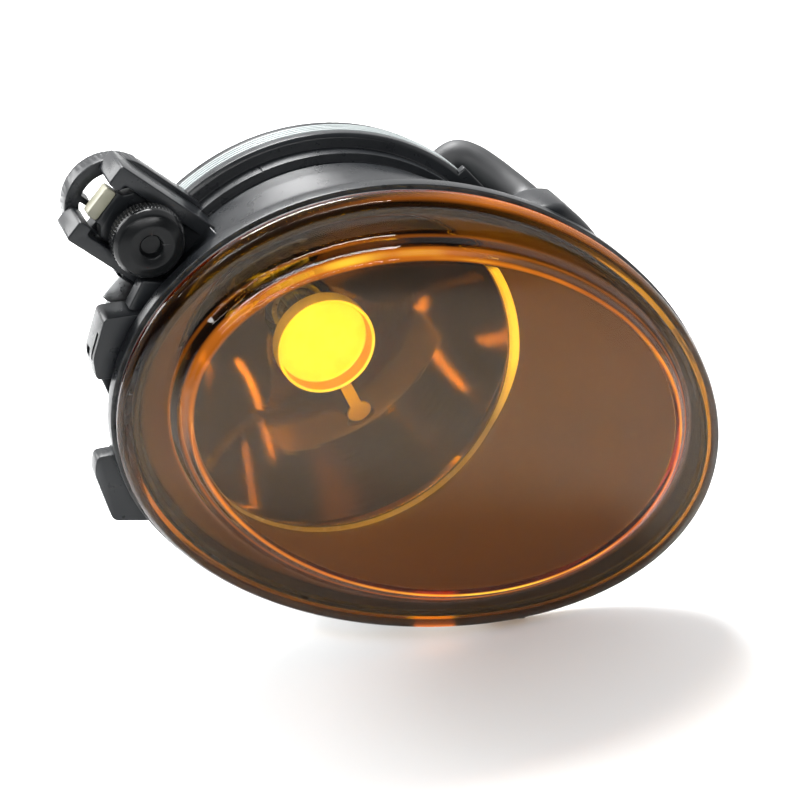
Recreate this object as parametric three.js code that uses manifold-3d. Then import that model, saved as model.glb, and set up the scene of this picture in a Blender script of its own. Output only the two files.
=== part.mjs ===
// Oval automotive fog lamp with an amber lens, a screw adjuster and a twist-lock bulb.
// Millimetres, +Z up. Inside the lamp group the optical axis is the Y axis and the
// front looks along -Y. The whole group is then shifted so that the origin lies on the
// raised pad at the back of the fixing loop.

import * as THREE from 'three';
import { mergeVertices } from 'three/addons/utils/BufferGeometryUtils.js';
import Module from 'manifold-3d';

const wasm = await Module();
wasm.setup();

// ---------------------------------------------------------------- driving dimensions
const GAP = 0.3;                     // clearance between pieces that touch
const OVAL_STEPS = 44;               // points around the oval outlines
const ROUND_STEPS = 32;              // points around large circles
const SMALL_STEPS = 14;              // points around pins, holes and screws

// outer outline of the lens, and the outline of its raised window
const LENS = { x: 21.2, z: -15.4, major: 85, minor: 60, tilt: -23.4, egg: 0.023, eggAt: -14 };
const WINDOW = { x: 22, z: -14, major: 68.2, minor: 46.2, tilt: -21.8, egg: -0.007, eggAt: -4 };
const LENS_THICKNESS = 2.4;
const WINDOW_FRONT = -5;             // y of the window's edge
const WINDOW_BULGE = 5;              // how far the middle of the window stands proud of it
const SKIRT_END = 4;                 // y where the lens skirt ends

const FLANGE_FRONT = 5.6;            // y of the front housing's sealing face
const FLANGE_LIP = 0.9;              // the housing flange stands this far outside the lens
const HOUSING_WALL = 2.4;            // inside of the oval housing wall, inside the lens outline
const DRUM_RADIUS = 50.5;
const DRUM_BORE = 47.6;
const DRUM_START = 24;               // y where the oval has become the round drum
const BAND_START = 26;
const BAND_RADIUS = 52.3;
const REAR_FLANGE_START = 30.2;
const REAR_FLANGE_END = 33;
const REAR_FLANGE_RADIUS = 55.8;

const SEAL_DEPTH = 4.2;              // ribbed ring between the two housings
const SEAL_INNER = 51;
const REAR_START = REAR_FLANGE_END + GAP + SEAL_DEPTH + GAP;
const REAR_RADIUS = 55.4;
const NECK_RADIUS = 20;
const NECK_BORE = 16.9;
const NECK_END = 65.3;
const NIPPLE_ANGLE = 42;             // where the vent hose leaves the rear housing
const NIPPLE_Y = 47.2;
const NIPPLE_END = 53;
const HOSE_RADIUS = 4.7;

const FOCUS = 12;                    // focal length of the parabolic reflector
const REFLECTOR_VERTEX = 50.9;       // y where the parabola would meet the axis
const REFLECTOR_RIM = 44;
const REFLECTOR_HOLE = 9.5;
const REFLECTOR_WALL = 1.6;

const SHIELD_RADIUS = 13.1;
const SHIELD_FLOOR = 30.1;
const SHIELD_FRONT = 25.4;
const RIVET_DISTANCE = 9.6;
const STEM_ANGLE = -66;              // the strip that carries the shield runs down and right

const BULB_RADIUS = 5.6;
const BULB_TIP = 33.2;
const BASE_FRONT = 58.5;
const BASE_RADIUS = 12.2;
const LOCK_ANGLES = [90, 210, 330];  // bayonet lugs and the slots they pass through
const LOCK_TURN = 35;

// fixing bracket: a radial arm on the upper left, drawn in its own frame where
// x runs outward from the optical axis, y is the optical axis and z is across the arm
const BRACKET_ANGLE = 139;           // degrees from +X towards +Z
const LOOP_CENTRE = 69.3;
const LOOP_RADIUS = 12.2;
const LOOP_BAND = 3.6;
const LOOP_FRONT = 28;
const LOOP_BACK = 33;
const ARM_ROOT = 46;
const WALL_FRONT = 17;
const WALL_OUTER = 11.1;
const WALL_INNER = 7.5;
const WALL_END = 78.6;
const PAD_START = 70.6;              // x where the loop's raised fixing pad begins
const PAD_BACK = 33.6;
const MOUNT_POINT = 79.7;            // distance of the mount from the optical axis

// adjuster
const KNOB_CENTRE = 63.3;
const KNOB_RADIUS = 9.1;
const KNOB_FRONT = 9;
const KNOB_BACK = 16.2;
const SPINDLE_RADIUS = 3;
const NUT_FRONT = 20.5;
const NUT_BACK = 24.5;

const TAB_BACK = 19;                 // rear face of the upper side tab
const TAB_PAD_BACK = 19.4;           // and of its contact pad

const EAR_RADIUS = 60.5;             // distance of the housing screws from the axis
const EAR_SIZE = 4.2;                // radius of the ears they sit in
const EAR_HOLE = 1.9;
const EAR_SCREW = 1.5;
const EAR_ANGLES = [15, -40, -95, -150];
const RIB_ANGLES = [88, 148, -178, -122, -68, -12]; // stiffening ribs on the rear housing
const BEZEL_SCREWS = [[82, -40], [34, -66], [-20.6, -51]];
const BEZEL_BOSS_END = 22;
const BEZEL_HOLE = 1.7;
const BEZEL_SCREW = 1.4;
const SCREW_HEAD = 3;

const rad = THREE.MathUtils.degToRad;
const v2 = (x, y) => new THREE.Vector2(x, y);
const v3 = (x, y, z) => new THREE.Vector3(x, y, z);

// ---------------------------------------------------------------- materials
function paint(color, roughness, metalness, extra = {}) {
  return () => new THREE.MeshStandardMaterial({ color, roughness, metalness, ...extra });
}
const amber = paint(0xd9661a, 0.08, 0, { transparent: true, opacity: 0.55 });
const blackPlastic = paint(0x202326, 0.45, 0);
const blackRubber = paint(0x2a2c2e, 0.65, 0);
const greySeal = paint(0xc3c9c9, 0.5, 0);
const mirror = paint(0xb9b6b0, 0.12, 1);
const satinBezel = paint(0x8d8982, 0.3, 0.9);
const steel = paint(0xa9adb0, 0.35, 1);
const brass = paint(0xb8924a, 0.35, 1);
const nylon = paint(0xcfc596, 0.4, 0);
const glass = paint(0xe8f0f2, 0.05, 0, { transparent: true, opacity: 0.35 });
const tungsten = paint(0x5e5a58, 0.6, 1);

// ---------------------------------------------------------------- mesh helpers
function signedVolume(position, index) {
  const a = v3(), b = v3(), c = v3();
  let sum = 0;
  for (let i = 0; i < index.length; i += 3) {
    a.fromBufferAttribute(position, index[i]);
    b.fromBufferAttribute(position, index[i + 1]);
    c.fromBufferAttribute(position, index[i + 2]);
    sum += a.dot(b.cross(c));
  }
  return sum / 6;
}

// One closed body with merged corners and faces that look outward.
function clean(geometry) {
  geometry.deleteAttribute('normal');
  geometry.deleteAttribute('uv');
  const merged = mergeVertices(geometry, 1e-4);
  const source = merged.index.array;
  const kept = [];
  for (let i = 0; i < source.length; i += 3) {
    const [a, b, c] = [source[i], source[i + 1], source[i + 2]];
    if (a !== b && b !== c && c !== a) kept.push(a, b, c);
  }
  if (signedVolume(merged.attributes.position, kept) < 0) kept.reverse();
  merged.setIndex(kept);
  return merged;
}

function toManifold(geometry) {
  const g = clean(geometry);
  return new wasm.Manifold(new wasm.Mesh({
    numProp: 3,
    vertProperties: new Float32Array(g.attributes.position.array),
    triVerts: new Uint32Array(g.index.array),
  }));
}

function fromManifold(manifold) {
  const m = manifold.getMesh();
  const geometry = new THREE.BufferGeometry();
  geometry.setAttribute('position', new THREE.BufferAttribute(new Float32Array(m.vertProperties), 3));
  geometry.setIndex(new THREE.BufferAttribute(new Uint32Array(m.triVerts), 1));
  return geometry;
}

// Join `base` with every geometry of `add`, then cut away every geometry of `cut`.
function combine(base, add, cut) {
  let body = toManifold(base);
  for (const piece of add) body = body.add(toManifold(piece));
  for (const piece of cut) body = body.subtract(toManifold(piece));
  return fromManifold(body);
}

const lamp = new THREE.Group();
function addMesh(parent, name, geometry, material) {
  const mesh = new THREE.Mesh(clean(geometry), material());
  mesh.name = name;
  parent.add(mesh);
  return mesh;
}

// ---------------------------------------------------------------- shape helpers
// A closed surface through a list of loops; a loop of one point is a pole. With no
// poles the last loop is joined to the first, which makes a ring.
function loft(loops) {
  const positions = [];
  const starts = [];
  for (const loop of loops) {
    starts.push(positions.length / 3);
    for (const p of loop) positions.push(p.x, p.y, p.z);
  }
  const index = [];
  const ringShaped = loops[0].length > 1;
  const pairs = ringShaped ? loops.length : loops.length - 1;
  for (let k = 0; k < pairs; k++) {
    const next = (k + 1) % loops.length;
    const countA = loops[k].length;
    const countB = loops[next].length;
    const count = Math.max(countA, countB);
    for (let i = 0; i < count; i++) {
      const j = (i + 1) % count;
      const a = starts[k] + (countA > 1 ? i : 0);
      const b = starts[k] + (countA > 1 ? j : 0);
      const c = starts[next] + (countB > 1 ? i : 0);
      const d = starts[next] + (countB > 1 ? j : 0);
      if (countA > 1) index.push(a, b, c);
      if (countB > 1) index.push(b, d, c);
    }
  }
  const geometry = new THREE.BufferGeometry();
  geometry.setAttribute('position', new THREE.Float32BufferAttribute(positions, 3));
  geometry.setIndex(index);
  return geometry;
}

// An egg-shaped loop in the plane y, grown outward by `offset` and scaled about its centre.
function oval(outline, offset, y, scale = 1) {
  const points = [];
  for (let i = 0; i < OVAL_STEPS; i++) {
    const t = (i / OVAL_STEPS) * 2 * Math.PI;
    const egg = scale * (1 + outline.egg * Math.cos(3 * (t - rad(outline.eggAt))));
    const u = (outline.major + offset) * Math.cos(t) * egg;
    const v = (outline.minor + offset) * Math.sin(t) * egg;
    const cos = Math.cos(rad(outline.tilt));
    const sin = Math.sin(rad(outline.tilt));
    points.push(v3(outline.x + u * cos - v * sin, y, outline.z + u * sin + v * cos));
  }
  return points;
}

// A circle about the optical axis whose points pair up with those of the lens outline.
function round(radius, y) {
  const points = [];
  for (let i = 0; i < OVAL_STEPS; i++) {
    const t = (i / OVAL_STEPS) * 2 * Math.PI + rad(LENS.tilt);
    points.push(v3(radius * Math.cos(t), y, radius * Math.sin(t)));
  }
  return points;
}

function blend(loopA, loopB, amount) {
  return loopA.map((p, i) => p.clone().lerp(loopB[i], amount));
}

const pole = (outline, y) => [v3(outline.x, y, outline.z)];
const axisPole = (y) => [v3(0, y, 0)];

// A profile of [radius, y] points turned about the Y axis. A profile that does not
// start on the axis is closed on itself.
function turn(profile, steps = ROUND_STEPS) {
  const points = profile.map(([r, y]) => v2(r, y));
  if (profile[0][0] > 0) points.push(points[0].clone());
  return new THREE.LatheGeometry(points, steps);
}

function rod(radius, y0, y1, x = 0, z = 0, steps = SMALL_STEPS) {
  const geometry = new THREE.CylinderGeometry(radius, radius, y1 - y0, steps);
  return geometry.translate(x, (y0 + y1) / 2, z);
}

function block(x0, x1, y0, y1, z0, z1) {
  const geometry = new THREE.BoxGeometry(x1 - x0, y1 - y0, z1 - z0);
  return geometry.translate((x0 + x1) / 2, (y0 + y1) / 2, (z0 + z1) / 2);
}

// A shape drawn in X and Z, extruded along Y from y0 to y1.
function plateY(shape, y0, y1, curveSegments = 12) {
  const geometry = new THREE.ExtrudeGeometry(shape, { depth: y1 - y0, bevelEnabled: false, curveSegments });
  return geometry.rotateX(Math.PI / 2).translate(0, y1, 0);
}

// A shape drawn in X and Y, extruded along Z from z0 to z1.
function plateZ(shape, z0, z1) {
  return new THREE.ExtrudeGeometry(shape, { depth: z1 - z0, bevelEnabled: false }).translate(0, 0, z0);
}

// A polygon whose corners are rounded by quadratic curves that start `radius` away.
function roundedPolygon(corners, radius) {
  const shape = new THREE.Shape();
  corners.forEach(([x, y], i) => {
    const here = v2(x, y);
    const before = v2(...corners[(i + corners.length - 1) % corners.length]);
    const after = v2(...corners[(i + 1) % corners.length]);
    const enter = here.clone().add(before.sub(here).setLength(radius));
    const leave = here.clone().add(after.sub(here).setLength(radius));
    if (i === 0) shape.moveTo(enter.x, enter.y);
    else shape.lineTo(enter.x, enter.y);
    shape.quadraticCurveTo(x, y, leave.x, leave.y);
  });
  shape.closePath();
  return shape;
}

const polygon = (corners) => new THREE.Shape(corners.map(([x, y]) => v2(x, y)));
const polar = (radius, angle) => [radius * Math.cos(rad(angle)), radius * Math.sin(rad(angle))];
const toBracket = (geometry) => geometry.rotateY(-rad(BRACKET_ANGLE));

// ---------------------------------------------------------------- lens
function lensGeometry() {
  const domeScales = [0.35, 0.7];
  const dome = (y, scale) => y - WINDOW_BULGE * (1 - scale * scale);
  const outside = [pole(WINDOW, dome(WINDOW_FRONT, 0))];
  for (const s of domeScales) outside.push(oval(WINDOW, 0, dome(WINDOW_FRONT, s), s));
  outside.push(oval(WINDOW, 0, WINDOW_FRONT));
  const ringSteps = [[1, -4.5], [1.8, -3.2], [3.2, -2.6], [4.5, -0.7], [5.6, -0.3]];
  for (const [offset, y] of ringSteps) outside.push(oval(WINDOW, offset, y));
  const edgeSteps = [[-3, 0.2], [-0.9, 0.9], [0, 2.4], [0, SKIRT_END]];
  for (const [offset, y] of edgeSteps) outside.push(oval(LENS, offset, y));

  const inside = [oval(LENS, -LENS_THICKNESS, SKIRT_END)];
  inside.push(oval(LENS, -3.6, LENS_THICKNESS + 0.2));
  inside.push(oval(WINDOW, 4.8, LENS_THICKNESS - 0.3));
  inside.push(oval(WINDOW, 2, 0.4));
  inside.push(oval(WINDOW, -1, WINDOW_FRONT + LENS_THICKNESS));
  for (const s of domeScales.toReversed()) {
    inside.push(oval(WINDOW, -1, dome(WINDOW_FRONT + LENS_THICKNESS, s), s));
  }
  inside.push(pole(WINDOW, dome(WINDOW_FRONT + LENS_THICKNESS, 0)));
  return loft([...outside, ...inside]);
}

function lensSealGeometry() {
  const front = SKIRT_END + GAP;
  const back = FLANGE_FRONT - GAP;
  return loft([
    oval(LENS, -0.3, front), oval(LENS, -0.3, back),
    oval(LENS, -2.2, back), oval(LENS, -2.2, front),
  ]);
}

// ---------------------------------------------------------------- front housing
function housingSolid() {
  const drum = round(DRUM_RADIUS, 0);
  const skin = (offset, y, amount) => {
    const circle = drum.map((p) => v3(p.x, y, p.z));
    return blend(oval(LENS, offset, y), circle, amount);
  };
  return loft([
    pole(LENS, FLANGE_FRONT),
    oval(LENS, FLANGE_LIP, FLANGE_FRONT),
    oval(LENS, FLANGE_LIP, 9.4),
    oval(LENS, -0.8, 10.2),
    skin(-1, 13, 0.22),
    skin(-1, 16.5, 0.52),
    skin(-1, 20, 0.8),
    round(DRUM_RADIUS, DRUM_START),
    round(DRUM_RADIUS, BAND_START),
    round(BAND_RADIUS, BAND_START + 0.05),
    round(BAND_RADIUS, REAR_FLANGE_START),
    round(REAR_FLANGE_RADIUS - 0.8, REAR_FLANGE_START + 0.05),
    round(REAR_FLANGE_RADIUS, REAR_FLANGE_START + 0.8),
    round(REAR_FLANGE_RADIUS, REAR_FLANGE_END),
    axisPole(REAR_FLANGE_END),
  ]);
}

function housingHollow() {
  const skin = (y, amount) => blend(oval(LENS, -3.6, y), round(DRUM_BORE, y), amount);
  return loft([
    pole(LENS, FLANGE_FRONT - 1),
    oval(LENS, -HOUSING_WALL, FLANGE_FRONT - 1),
    oval(LENS, -HOUSING_WALL, 10.6),
    skin(13, 0.24),
    skin(16, 0.52),
    skin(19.5, 0.82),
    round(DRUM_BORE, 23.5),
    round(DRUM_BORE, REAR_FLANGE_END + 1),
    axisPole(REAR_FLANGE_END + 1),
  ]);
}

// The arm's plate ends in a round loop; its hole lets the car bracket's hook through.
function loopPlate(front, back) {
  const shape = new THREE.Shape();
  shape.moveTo(ARM_ROOT, -LOOP_RADIUS);
  shape.lineTo(LOOP_CENTRE, -LOOP_RADIUS);
  shape.absarc(LOOP_CENTRE, 0, LOOP_RADIUS, -Math.PI / 2, Math.PI / 2, false);
  shape.lineTo(ARM_ROOT, LOOP_RADIUS);
  shape.closePath();
  const inner = LOOP_RADIUS - LOOP_BAND;
  const stub = 1.1;
  const hole = new THREE.Path();
  hole.moveTo(LOOP_CENTRE + 1.2, -inner);
  hole.absarc(LOOP_CENTRE, 0, inner, -Math.PI / 2 + 0.14, 0.28, false);
  hole.lineTo(LOOP_CENTRE + inner - 3.4, stub + 1.3);
  hole.lineTo(LOOP_CENTRE + inner - 3.4, stub + 2.7);
  hole.absarc(LOOP_CENTRE, 0, inner, 0.47, Math.PI / 2 - 0.14, false);
  hole.closePath();
  shape.holes.push(hole);
  return plateY(shape, front, back, 14);
}

function bracketPieces() {
  const half = LOOP_RADIUS + 1;
  const beforePad = block(ARM_ROOT - 1, PAD_START, LOOP_BACK - 2, PAD_BACK + 1, -half, half);
  const pad = combine(loopPlate(LOOP_BACK - 1, PAD_BACK), [], [beforePad]);
  const pieces = [loopPlate(LOOP_FRONT, LOOP_BACK), pad];
  for (const side of [-1, 1]) {
    const wall = roundedPolygon([
      [ARM_ROOT, side * WALL_INNER],
      [WALL_END - 3.6, side * WALL_INNER],
      [WALL_END - 3.6, side * (WALL_INNER - 2)],
      [WALL_END, side * (WALL_INNER - 2)],
      [WALL_END, side * WALL_OUTER],
      [ARM_ROOT, side * WALL_OUTER],
    ], 0.9);
    pieces.push(plateY(wall, WALL_FRONT, LOOP_FRONT + 1, 3));
  }
  const neck = new THREE.Shape();
  neck.moveTo(ARM_ROOT, 11);
  neck.lineTo(49.5, 11);
  neck.quadraticCurveTo(52.5, 25.5, 61, LOOP_FRONT + 0.5);
  neck.lineTo(ARM_ROOT, LOOP_FRONT + 0.5);
  neck.closePath();
  pieces.push(plateZ(neck, -WALL_OUTER + 0.5, WALL_OUTER - 0.5));
  pieces.push(block(ARM_ROOT, 59.7, 20.6, 23.6, WALL_OUTER - 1, 19.4));
  return pieces.map(toBracket);
}

function bracketCuts() {
  const cuts = [
    rod(SPINDLE_RADIUS + GAP, LOOP_FRONT - 1, PAD_BACK + 1, KNOB_CENTRE),
    block(58.4, 59.9, LOOP_FRONT - 1, LOOP_BACK + 1, -5.6, -2.2),
    block(65.5, 68.2, LOOP_FRONT - 1, LOOP_BACK + 1, 4.6, 6.6),
  ];
  return cuts.map(toBracket);
}

function tabPieces() {
  const upper = roundedPolygon([[-60.2, 24.4], [-63.7, 14], [-63.2, 8.4], [-50, 8], [-44, 24.4]], 1.2);
  const pad = polygon([[-61.4, 19.6], [-62.8, 14], [-62.2, 9.2], [-54.5, 9.2], [-54.5, 19.6]]);
  const gusset = polygon([[-62, 9], [-52, 9], [-52, -8], [-58, -3]]);
  const lower = roundedPolygon([[-64.6, -12.4], [-65.4, -17], [-61.6, -31], [-46, -34], [-50, -12.4]], 1.8);
  const foot = roundedPolygon([[36.5, -70], [36.5, -80.6], [49.5, -82.6], [49.5, -68]], 0.8);
  const hump = polygon([[33, 31], [35.4, 38.6], [37.6, 40.2], [43.4, 40.4], [47.6, 36.6], [44, 30]]);
  const bridge = polygon([[-54, 25], [-50, 32], [-42, 30], [-46, 22]]);
  return [
    plateY(upper, 10, TAB_BACK, 3),
    plateY(pad, TAB_BACK - 0.5, TAB_PAD_BACK),
    plateY(gusset, 12.5, 18.5),
    plateY(lower, 9.6, 14.4, 4),
    plateY(foot, 6.5, 10.5, 2),
    plateY(hump, 9.4, 17),
    plateY(bridge, 12, 16),
  ];
}

// A rounded shoulder on the upper right, behind the lens, that the vent hose enters.
function shoulderPiece() {
  const shape = new THREE.Shape();
  shape.moveTo(46.5, 31.5);
  shape.quadraticCurveTo(52.5, 36, 58, 34.5);
  shape.quadraticCurveTo(66.5, 27.5, 72.6, 15.2);
  shape.lineTo(60, 11.5);
  shape.lineTo(43, 27);
  shape.closePath();
  const bevel = { bevelEnabled: true, bevelThickness: 2.6, bevelSize: 2.4, bevelSegments: 2 };
  const geometry = new THREE.ExtrudeGeometry(shape, { depth: 11, curveSegments: 4, ...bevel });
  return geometry.rotateX(Math.PI / 2).translate(0, 22, 0);
}

function housingGeometry() {
  const add = [...bracketPieces(), ...tabPieces(), shoulderPiece()];
  const lateCuts = [
    ...bracketCuts(),
    block(-65, -60.8, 11.4, 12.8, 13, 20),
    block(-65, -61.4, 14.6, 17.4, 12.6, 15),
    housingHollow(),
  ];
  for (const angle of EAR_ANGLES) {
    const [x, z] = polar(EAR_RADIUS, angle);
    add.push(rod(EAR_SIZE, 28.5, REAR_FLANGE_END + GAP + SEAL_DEPTH - 2, x, z));
    const web = block(DRUM_RADIUS, EAR_RADIUS, REAR_FLANGE_START, REAR_FLANGE_END, -EAR_SIZE, EAR_SIZE);
    add.push(web.rotateY(-rad(angle)));
    lateCuts.push(rod(EAR_HOLE, 30.5, REAR_START, x, z, 12));
  }
  let body = toManifold(combine(housingSolid(), add, lateCuts));
  for (const [x, z] of BEZEL_SCREWS) {
    body = body.add(toManifold(rod(4, 11.2, BEZEL_BOSS_END, x, z)));
    body = body.subtract(toManifold(rod(BEZEL_HOLE, 10, BEZEL_BOSS_END + 1, x, z, 12)));
  }
  return fromManifold(body);
}

// A cross-head screw whose head sits at y = seat and whose tip is at y = tip.
function screwGeometry(x, z, tip, seat, shankRadius) {
  const shank = rod(shankRadius, tip, seat + 0.5, x, z, 10);
  const head = rod(SCREW_HEAD, seat, seat + 2.2, x, z, 12);
  const cross = [[0.4, 2], [2, 0.4]];
  const slots = cross.map(([w, h]) => block(x - w, x + w, seat + 1.2, seat + 3, z - h, z + h));
  return combine(shank, [head], slots);
}

// ---------------------------------------------------------------- optics
function bezelGeometry() {
  const tray = loft([pole(LENS, 3.3), oval(LENS, -4.2, 3.3), oval(LENS, -4.2, 10.3), pole(LENS, 10.3)]);
  const hollow = loft([pole(LENS, 2), oval(LENS, -5.6, 2), oval(LENS, -6.6, 8.5), pole(LENS, 8.5)]);
  const mouth = turn([[0, 7], [45.2, 7], [45.2, 8.4], [44.4, 9.3], [44.4, 11], [0, 11]]);
  return combine(tray, [], [hollow, mouth]);
}

function reflectorGeometry() {
  const paraboloid = (r) => REFLECTOR_VERTEX - (r * r) / (4 * FOCUS);
  const radii = [44, 38, 31, 24, 17];
  const front = radii.map((r) => [r, paraboloid(r)]);
  front.push([REFLECTOR_HOLE, paraboloid(REFLECTOR_HOLE)], [REFLECTOR_HOLE, 55.5]);
  const back = [[REFLECTOR_HOLE + REFLECTOR_WALL, 55.5], [REFLECTOR_HOLE + REFLECTOR_WALL, 51]];
  for (const r of radii.toReversed()) back.push([Math.min(r + 1.1, 45), paraboloid(r) + REFLECTOR_WALL]);
  back.push([REFLECTOR_RIM + 2, 12.4], [REFLECTOR_RIM + 2, 10.6]);
  return turn([...front, ...back]);
}

function shieldGeometry() {
  return turn([
    [0, SHIELD_FLOOR], [11.4, SHIELD_FLOOR], [12.2, SHIELD_FLOOR - 0.8], [12.2, SHIELD_FRONT],
    [SHIELD_RADIUS, SHIELD_FRONT], [SHIELD_RADIUS, SHIELD_FLOOR + 0.4], [12.3, SHIELD_FLOOR + 1.2],
    [0, SHIELD_FLOOR + 1.2],
  ], 32);
}

function shieldStemGeometry() {
  const front = SHIELD_FLOOR + 1.5;
  const strip = polygon([[7, front], [26, front], [27, front + 0.2], [28.8, front + 0.9], [28.2, front + 1.6],
    [26, front + 1], [7, front + 1]]);
  return plateZ(strip, -2.6, 2.6).rotateY(-rad(STEM_ANGLE));
}

function buildOptics() {
  addMesh(lamp, 'lens', lensGeometry(), amber);
  addMesh(lamp, 'lens_seal', lensSealGeometry(), blackRubber);
  addMesh(lamp, 'inner_bezel', bezelGeometry(), satinBezel);
  addMesh(lamp, 'reflector', reflectorGeometry(), mirror);
  addMesh(lamp, 'bulb_shield', shieldGeometry(), mirror);
  addMesh(lamp, 'shield_stem', shieldStemGeometry(), steel);
  const [x, z] = polar(RIVET_DISTANCE, STEM_ANGLE);
  addMesh(lamp, 'shield_rivet', rod(1.4, SHIELD_FLOOR + 2.8, SHIELD_FLOOR + 3.5, x, z), steel);
  BEZEL_SCREWS.forEach(([sx, sz], i) => {
    const screw = screwGeometry(sx, sz, 10.8, BEZEL_BOSS_END + GAP, BEZEL_SCREW);
    addMesh(lamp, `bezel_screw_${i + 1}`, screw, steel);
  });
}

// ---------------------------------------------------------------- housings
function sealGeometry() {
  const y = REAR_FLANGE_END + GAP;
  const outer = REAR_FLANGE_RADIUS + 0.1;
  const profile = [[SEAL_INNER, y], [outer, y]];
  const ribs = 3;
  const pitch = SEAL_DEPTH / ribs;
  for (let i = 0; i < ribs; i++) {
    profile.push([outer, y + (i + 0.7) * pitch]);
    if (i < ribs - 1) profile.push([outer - 0.5, y + (i + 0.85) * pitch], [outer, y + (i + 1) * pitch]);
  }
  profile.push([outer, y + SEAL_DEPTH], [SEAL_INNER, y + SEAL_DEPTH]);
  return turn(profile);
}

function rearHousingGeometry() {
  const y = REAR_START;
  const shell = turn([
    [49.4, y], [REAR_RADIUS, y], [REAR_RADIUS, y + 3], [52, y + 4], [50.6, y + 7.5], [46, y + 12],
    [36, y + 17.6], [NECK_RADIUS + 1.5, y + 21.5], [NECK_RADIUS, y + 23], [NECK_RADIUS, NECK_END],
    [NECK_BORE, NECK_END], [NECK_BORE, y + 19.5], [34.6, y + 15.2], [44, y + 10], [48, y + 6], [49.4, y + 3],
  ]);
  const add = [];
  const cut = [];
  for (const angle of EAR_ANGLES) {
    const [x, z] = polar(EAR_RADIUS, angle);
    add.push(rod(EAR_SIZE, REAR_START - 2, REAR_START + 3.4, x, z));
    add.push(block(52, EAR_RADIUS, REAR_START + 0.2, REAR_START + 3, -EAR_SIZE, EAR_SIZE).rotateY(-rad(angle)));
    cut.push(rod(EAR_HOLE, REAR_START - 3, REAR_START + 5, x, z, 12));
  }
  for (const angle of RIB_ANGLES) {
    const rib = polygon([
      [19, y + 21], [35.5, y + 16.6], [49, y + 7.5], [51, y + 3.5],
      [53.2, y + 3.5], [51.8, y + 7.2], [47.5, y + 14.2], [36, y + 20.2], [19, y + 24],
    ]);
    add.push(plateZ(rib, -0.8, 0.8).rotateY(-rad(angle)));
  }
  const nippleLength = 8;
  const nipple = new THREE.CylinderGeometry(2.1, 2.1, nippleLength, SMALL_STEPS).rotateZ(-Math.PI / 2);
  nipple.translate(NIPPLE_END - nippleLength / 2, NIPPLE_Y, 0);
  add.push(nipple.rotateY(-rad(NIPPLE_ANGLE)));
  return combine(shell, add, cut);
}

// The vent hose leaves the rear housing, runs round the drum and enters the shoulder.
function hoseGeometry() {
  const [startX, startZ] = polar(NIPPLE_END + 0.6, NIPPLE_ANGLE);
  const path = new THREE.CatmullRomCurve3([
    v3(startX, NIPPLE_Y, startZ), v3(43.4, 46.6, 38), v3(47, 44.4, 37.2), v3(50.2, 41, 35.2),
    v3(53.2, 36.6, 32.9), v3(55.8, 31, 30.8), v3(56.6, 26.4, 29.8),
  ]);
  const section = new THREE.Shape().absarc(0, 0, HOSE_RADIUS, 0, 2 * Math.PI, false);
  return new THREE.ExtrudeGeometry(section, { steps: 16, curveSegments: 4, extrudePath: path });
}

function collarGeometry() {
  const outer = NECK_BORE - GAP;
  const ring = turn([[14.9, 56.8], [outer, 56.8], [outer, 63.5], [12.6, 63.5], [12.6, 61.9], [14.9, 61.9]]);
  const slots = [];
  for (const angle of LOCK_ANGLES) slots.push(block(11, 14.9, 61, 64, -3, 3).rotateY(-rad(angle + LOCK_TURN)));
  return combine(ring, [], slots);
}

// A sheet-steel clip folded over the lug beside the bracket.
function speedNutGeometry() {
  const profile = [
    [54.4, 19.5], [61, 19.5], [61, 24.9], [56, 24.9], [54.4, 26.6],
    [53.8, 26], [55.6, 24.1], [60.2, 24.1], [60.2, 20.3], [54.4, 20.3],
  ];
  return plateZ(polygon(profile), 12.4, 19);
}

function buildHousings() {
  addMesh(lamp, 'front_housing', housingGeometry(), blackPlastic);
  addMesh(lamp, 'housing_seal', sealGeometry(), greySeal);
  addMesh(lamp, 'rear_housing', rearHousingGeometry(), blackPlastic);
  addMesh(lamp, 'vent_hose', hoseGeometry(), blackRubber);
  addMesh(lamp, 'bulb_collar', collarGeometry(), blackPlastic);
  EAR_ANGLES.forEach((angle, i) => {
    const [x, z] = polar(EAR_RADIUS, angle);
    addMesh(lamp, `housing_screw_${i + 1}`, screwGeometry(x, z, 31, REAR_START + 3.7, EAR_SCREW), steel);
  });
}

// ---------------------------------------------------------------- adjuster
function knobGeometry() {
  const body = turn([
    [0, KNOB_FRONT + 2.6], [2.6, KNOB_FRONT + 2.6], [2.9, KNOB_FRONT + 0.5],
    [5.4, KNOB_FRONT], [8, KNOB_FRONT + 0.9],
    [KNOB_RADIUS, KNOB_FRONT + 2.6], [KNOB_RADIUS, KNOB_BACK], [SPINDLE_RADIUS + GAP, KNOB_BACK],
    [SPINDLE_RADIUS + GAP, KNOB_BACK - 2.6], [0, KNOB_BACK - 2.6],
  ], 32);
  const flutes = [];
  const count = 18;
  for (let i = 0; i < count; i++) {
    const flute = new THREE.BoxGeometry(0.9, 4, 0.9).rotateY(Math.PI / 4);
    flute.translate(KNOB_RADIUS, KNOB_BACK - 1.4, 0);
    flutes.push(flute.rotateY((i / count) * 2 * Math.PI));
  }
  return combine(body, [], flutes);
}

function spindleGeometry() {
  const r = SPINDLE_RADIUS;
  const front = KNOB_BACK - 2.3;
  const grooveStart = LOOP_BACK + 0.5;
  const grooveEnd = LOOP_BACK + 2;
  const back = LOOP_BACK + 3.4;
  return turn([
    [0, front], [r, front], [r, grooveStart], [2.3, grooveStart],
    [2.3, grooveEnd], [r, grooveEnd], [2.4, back], [0, back],
  ], 20);
}

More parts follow.
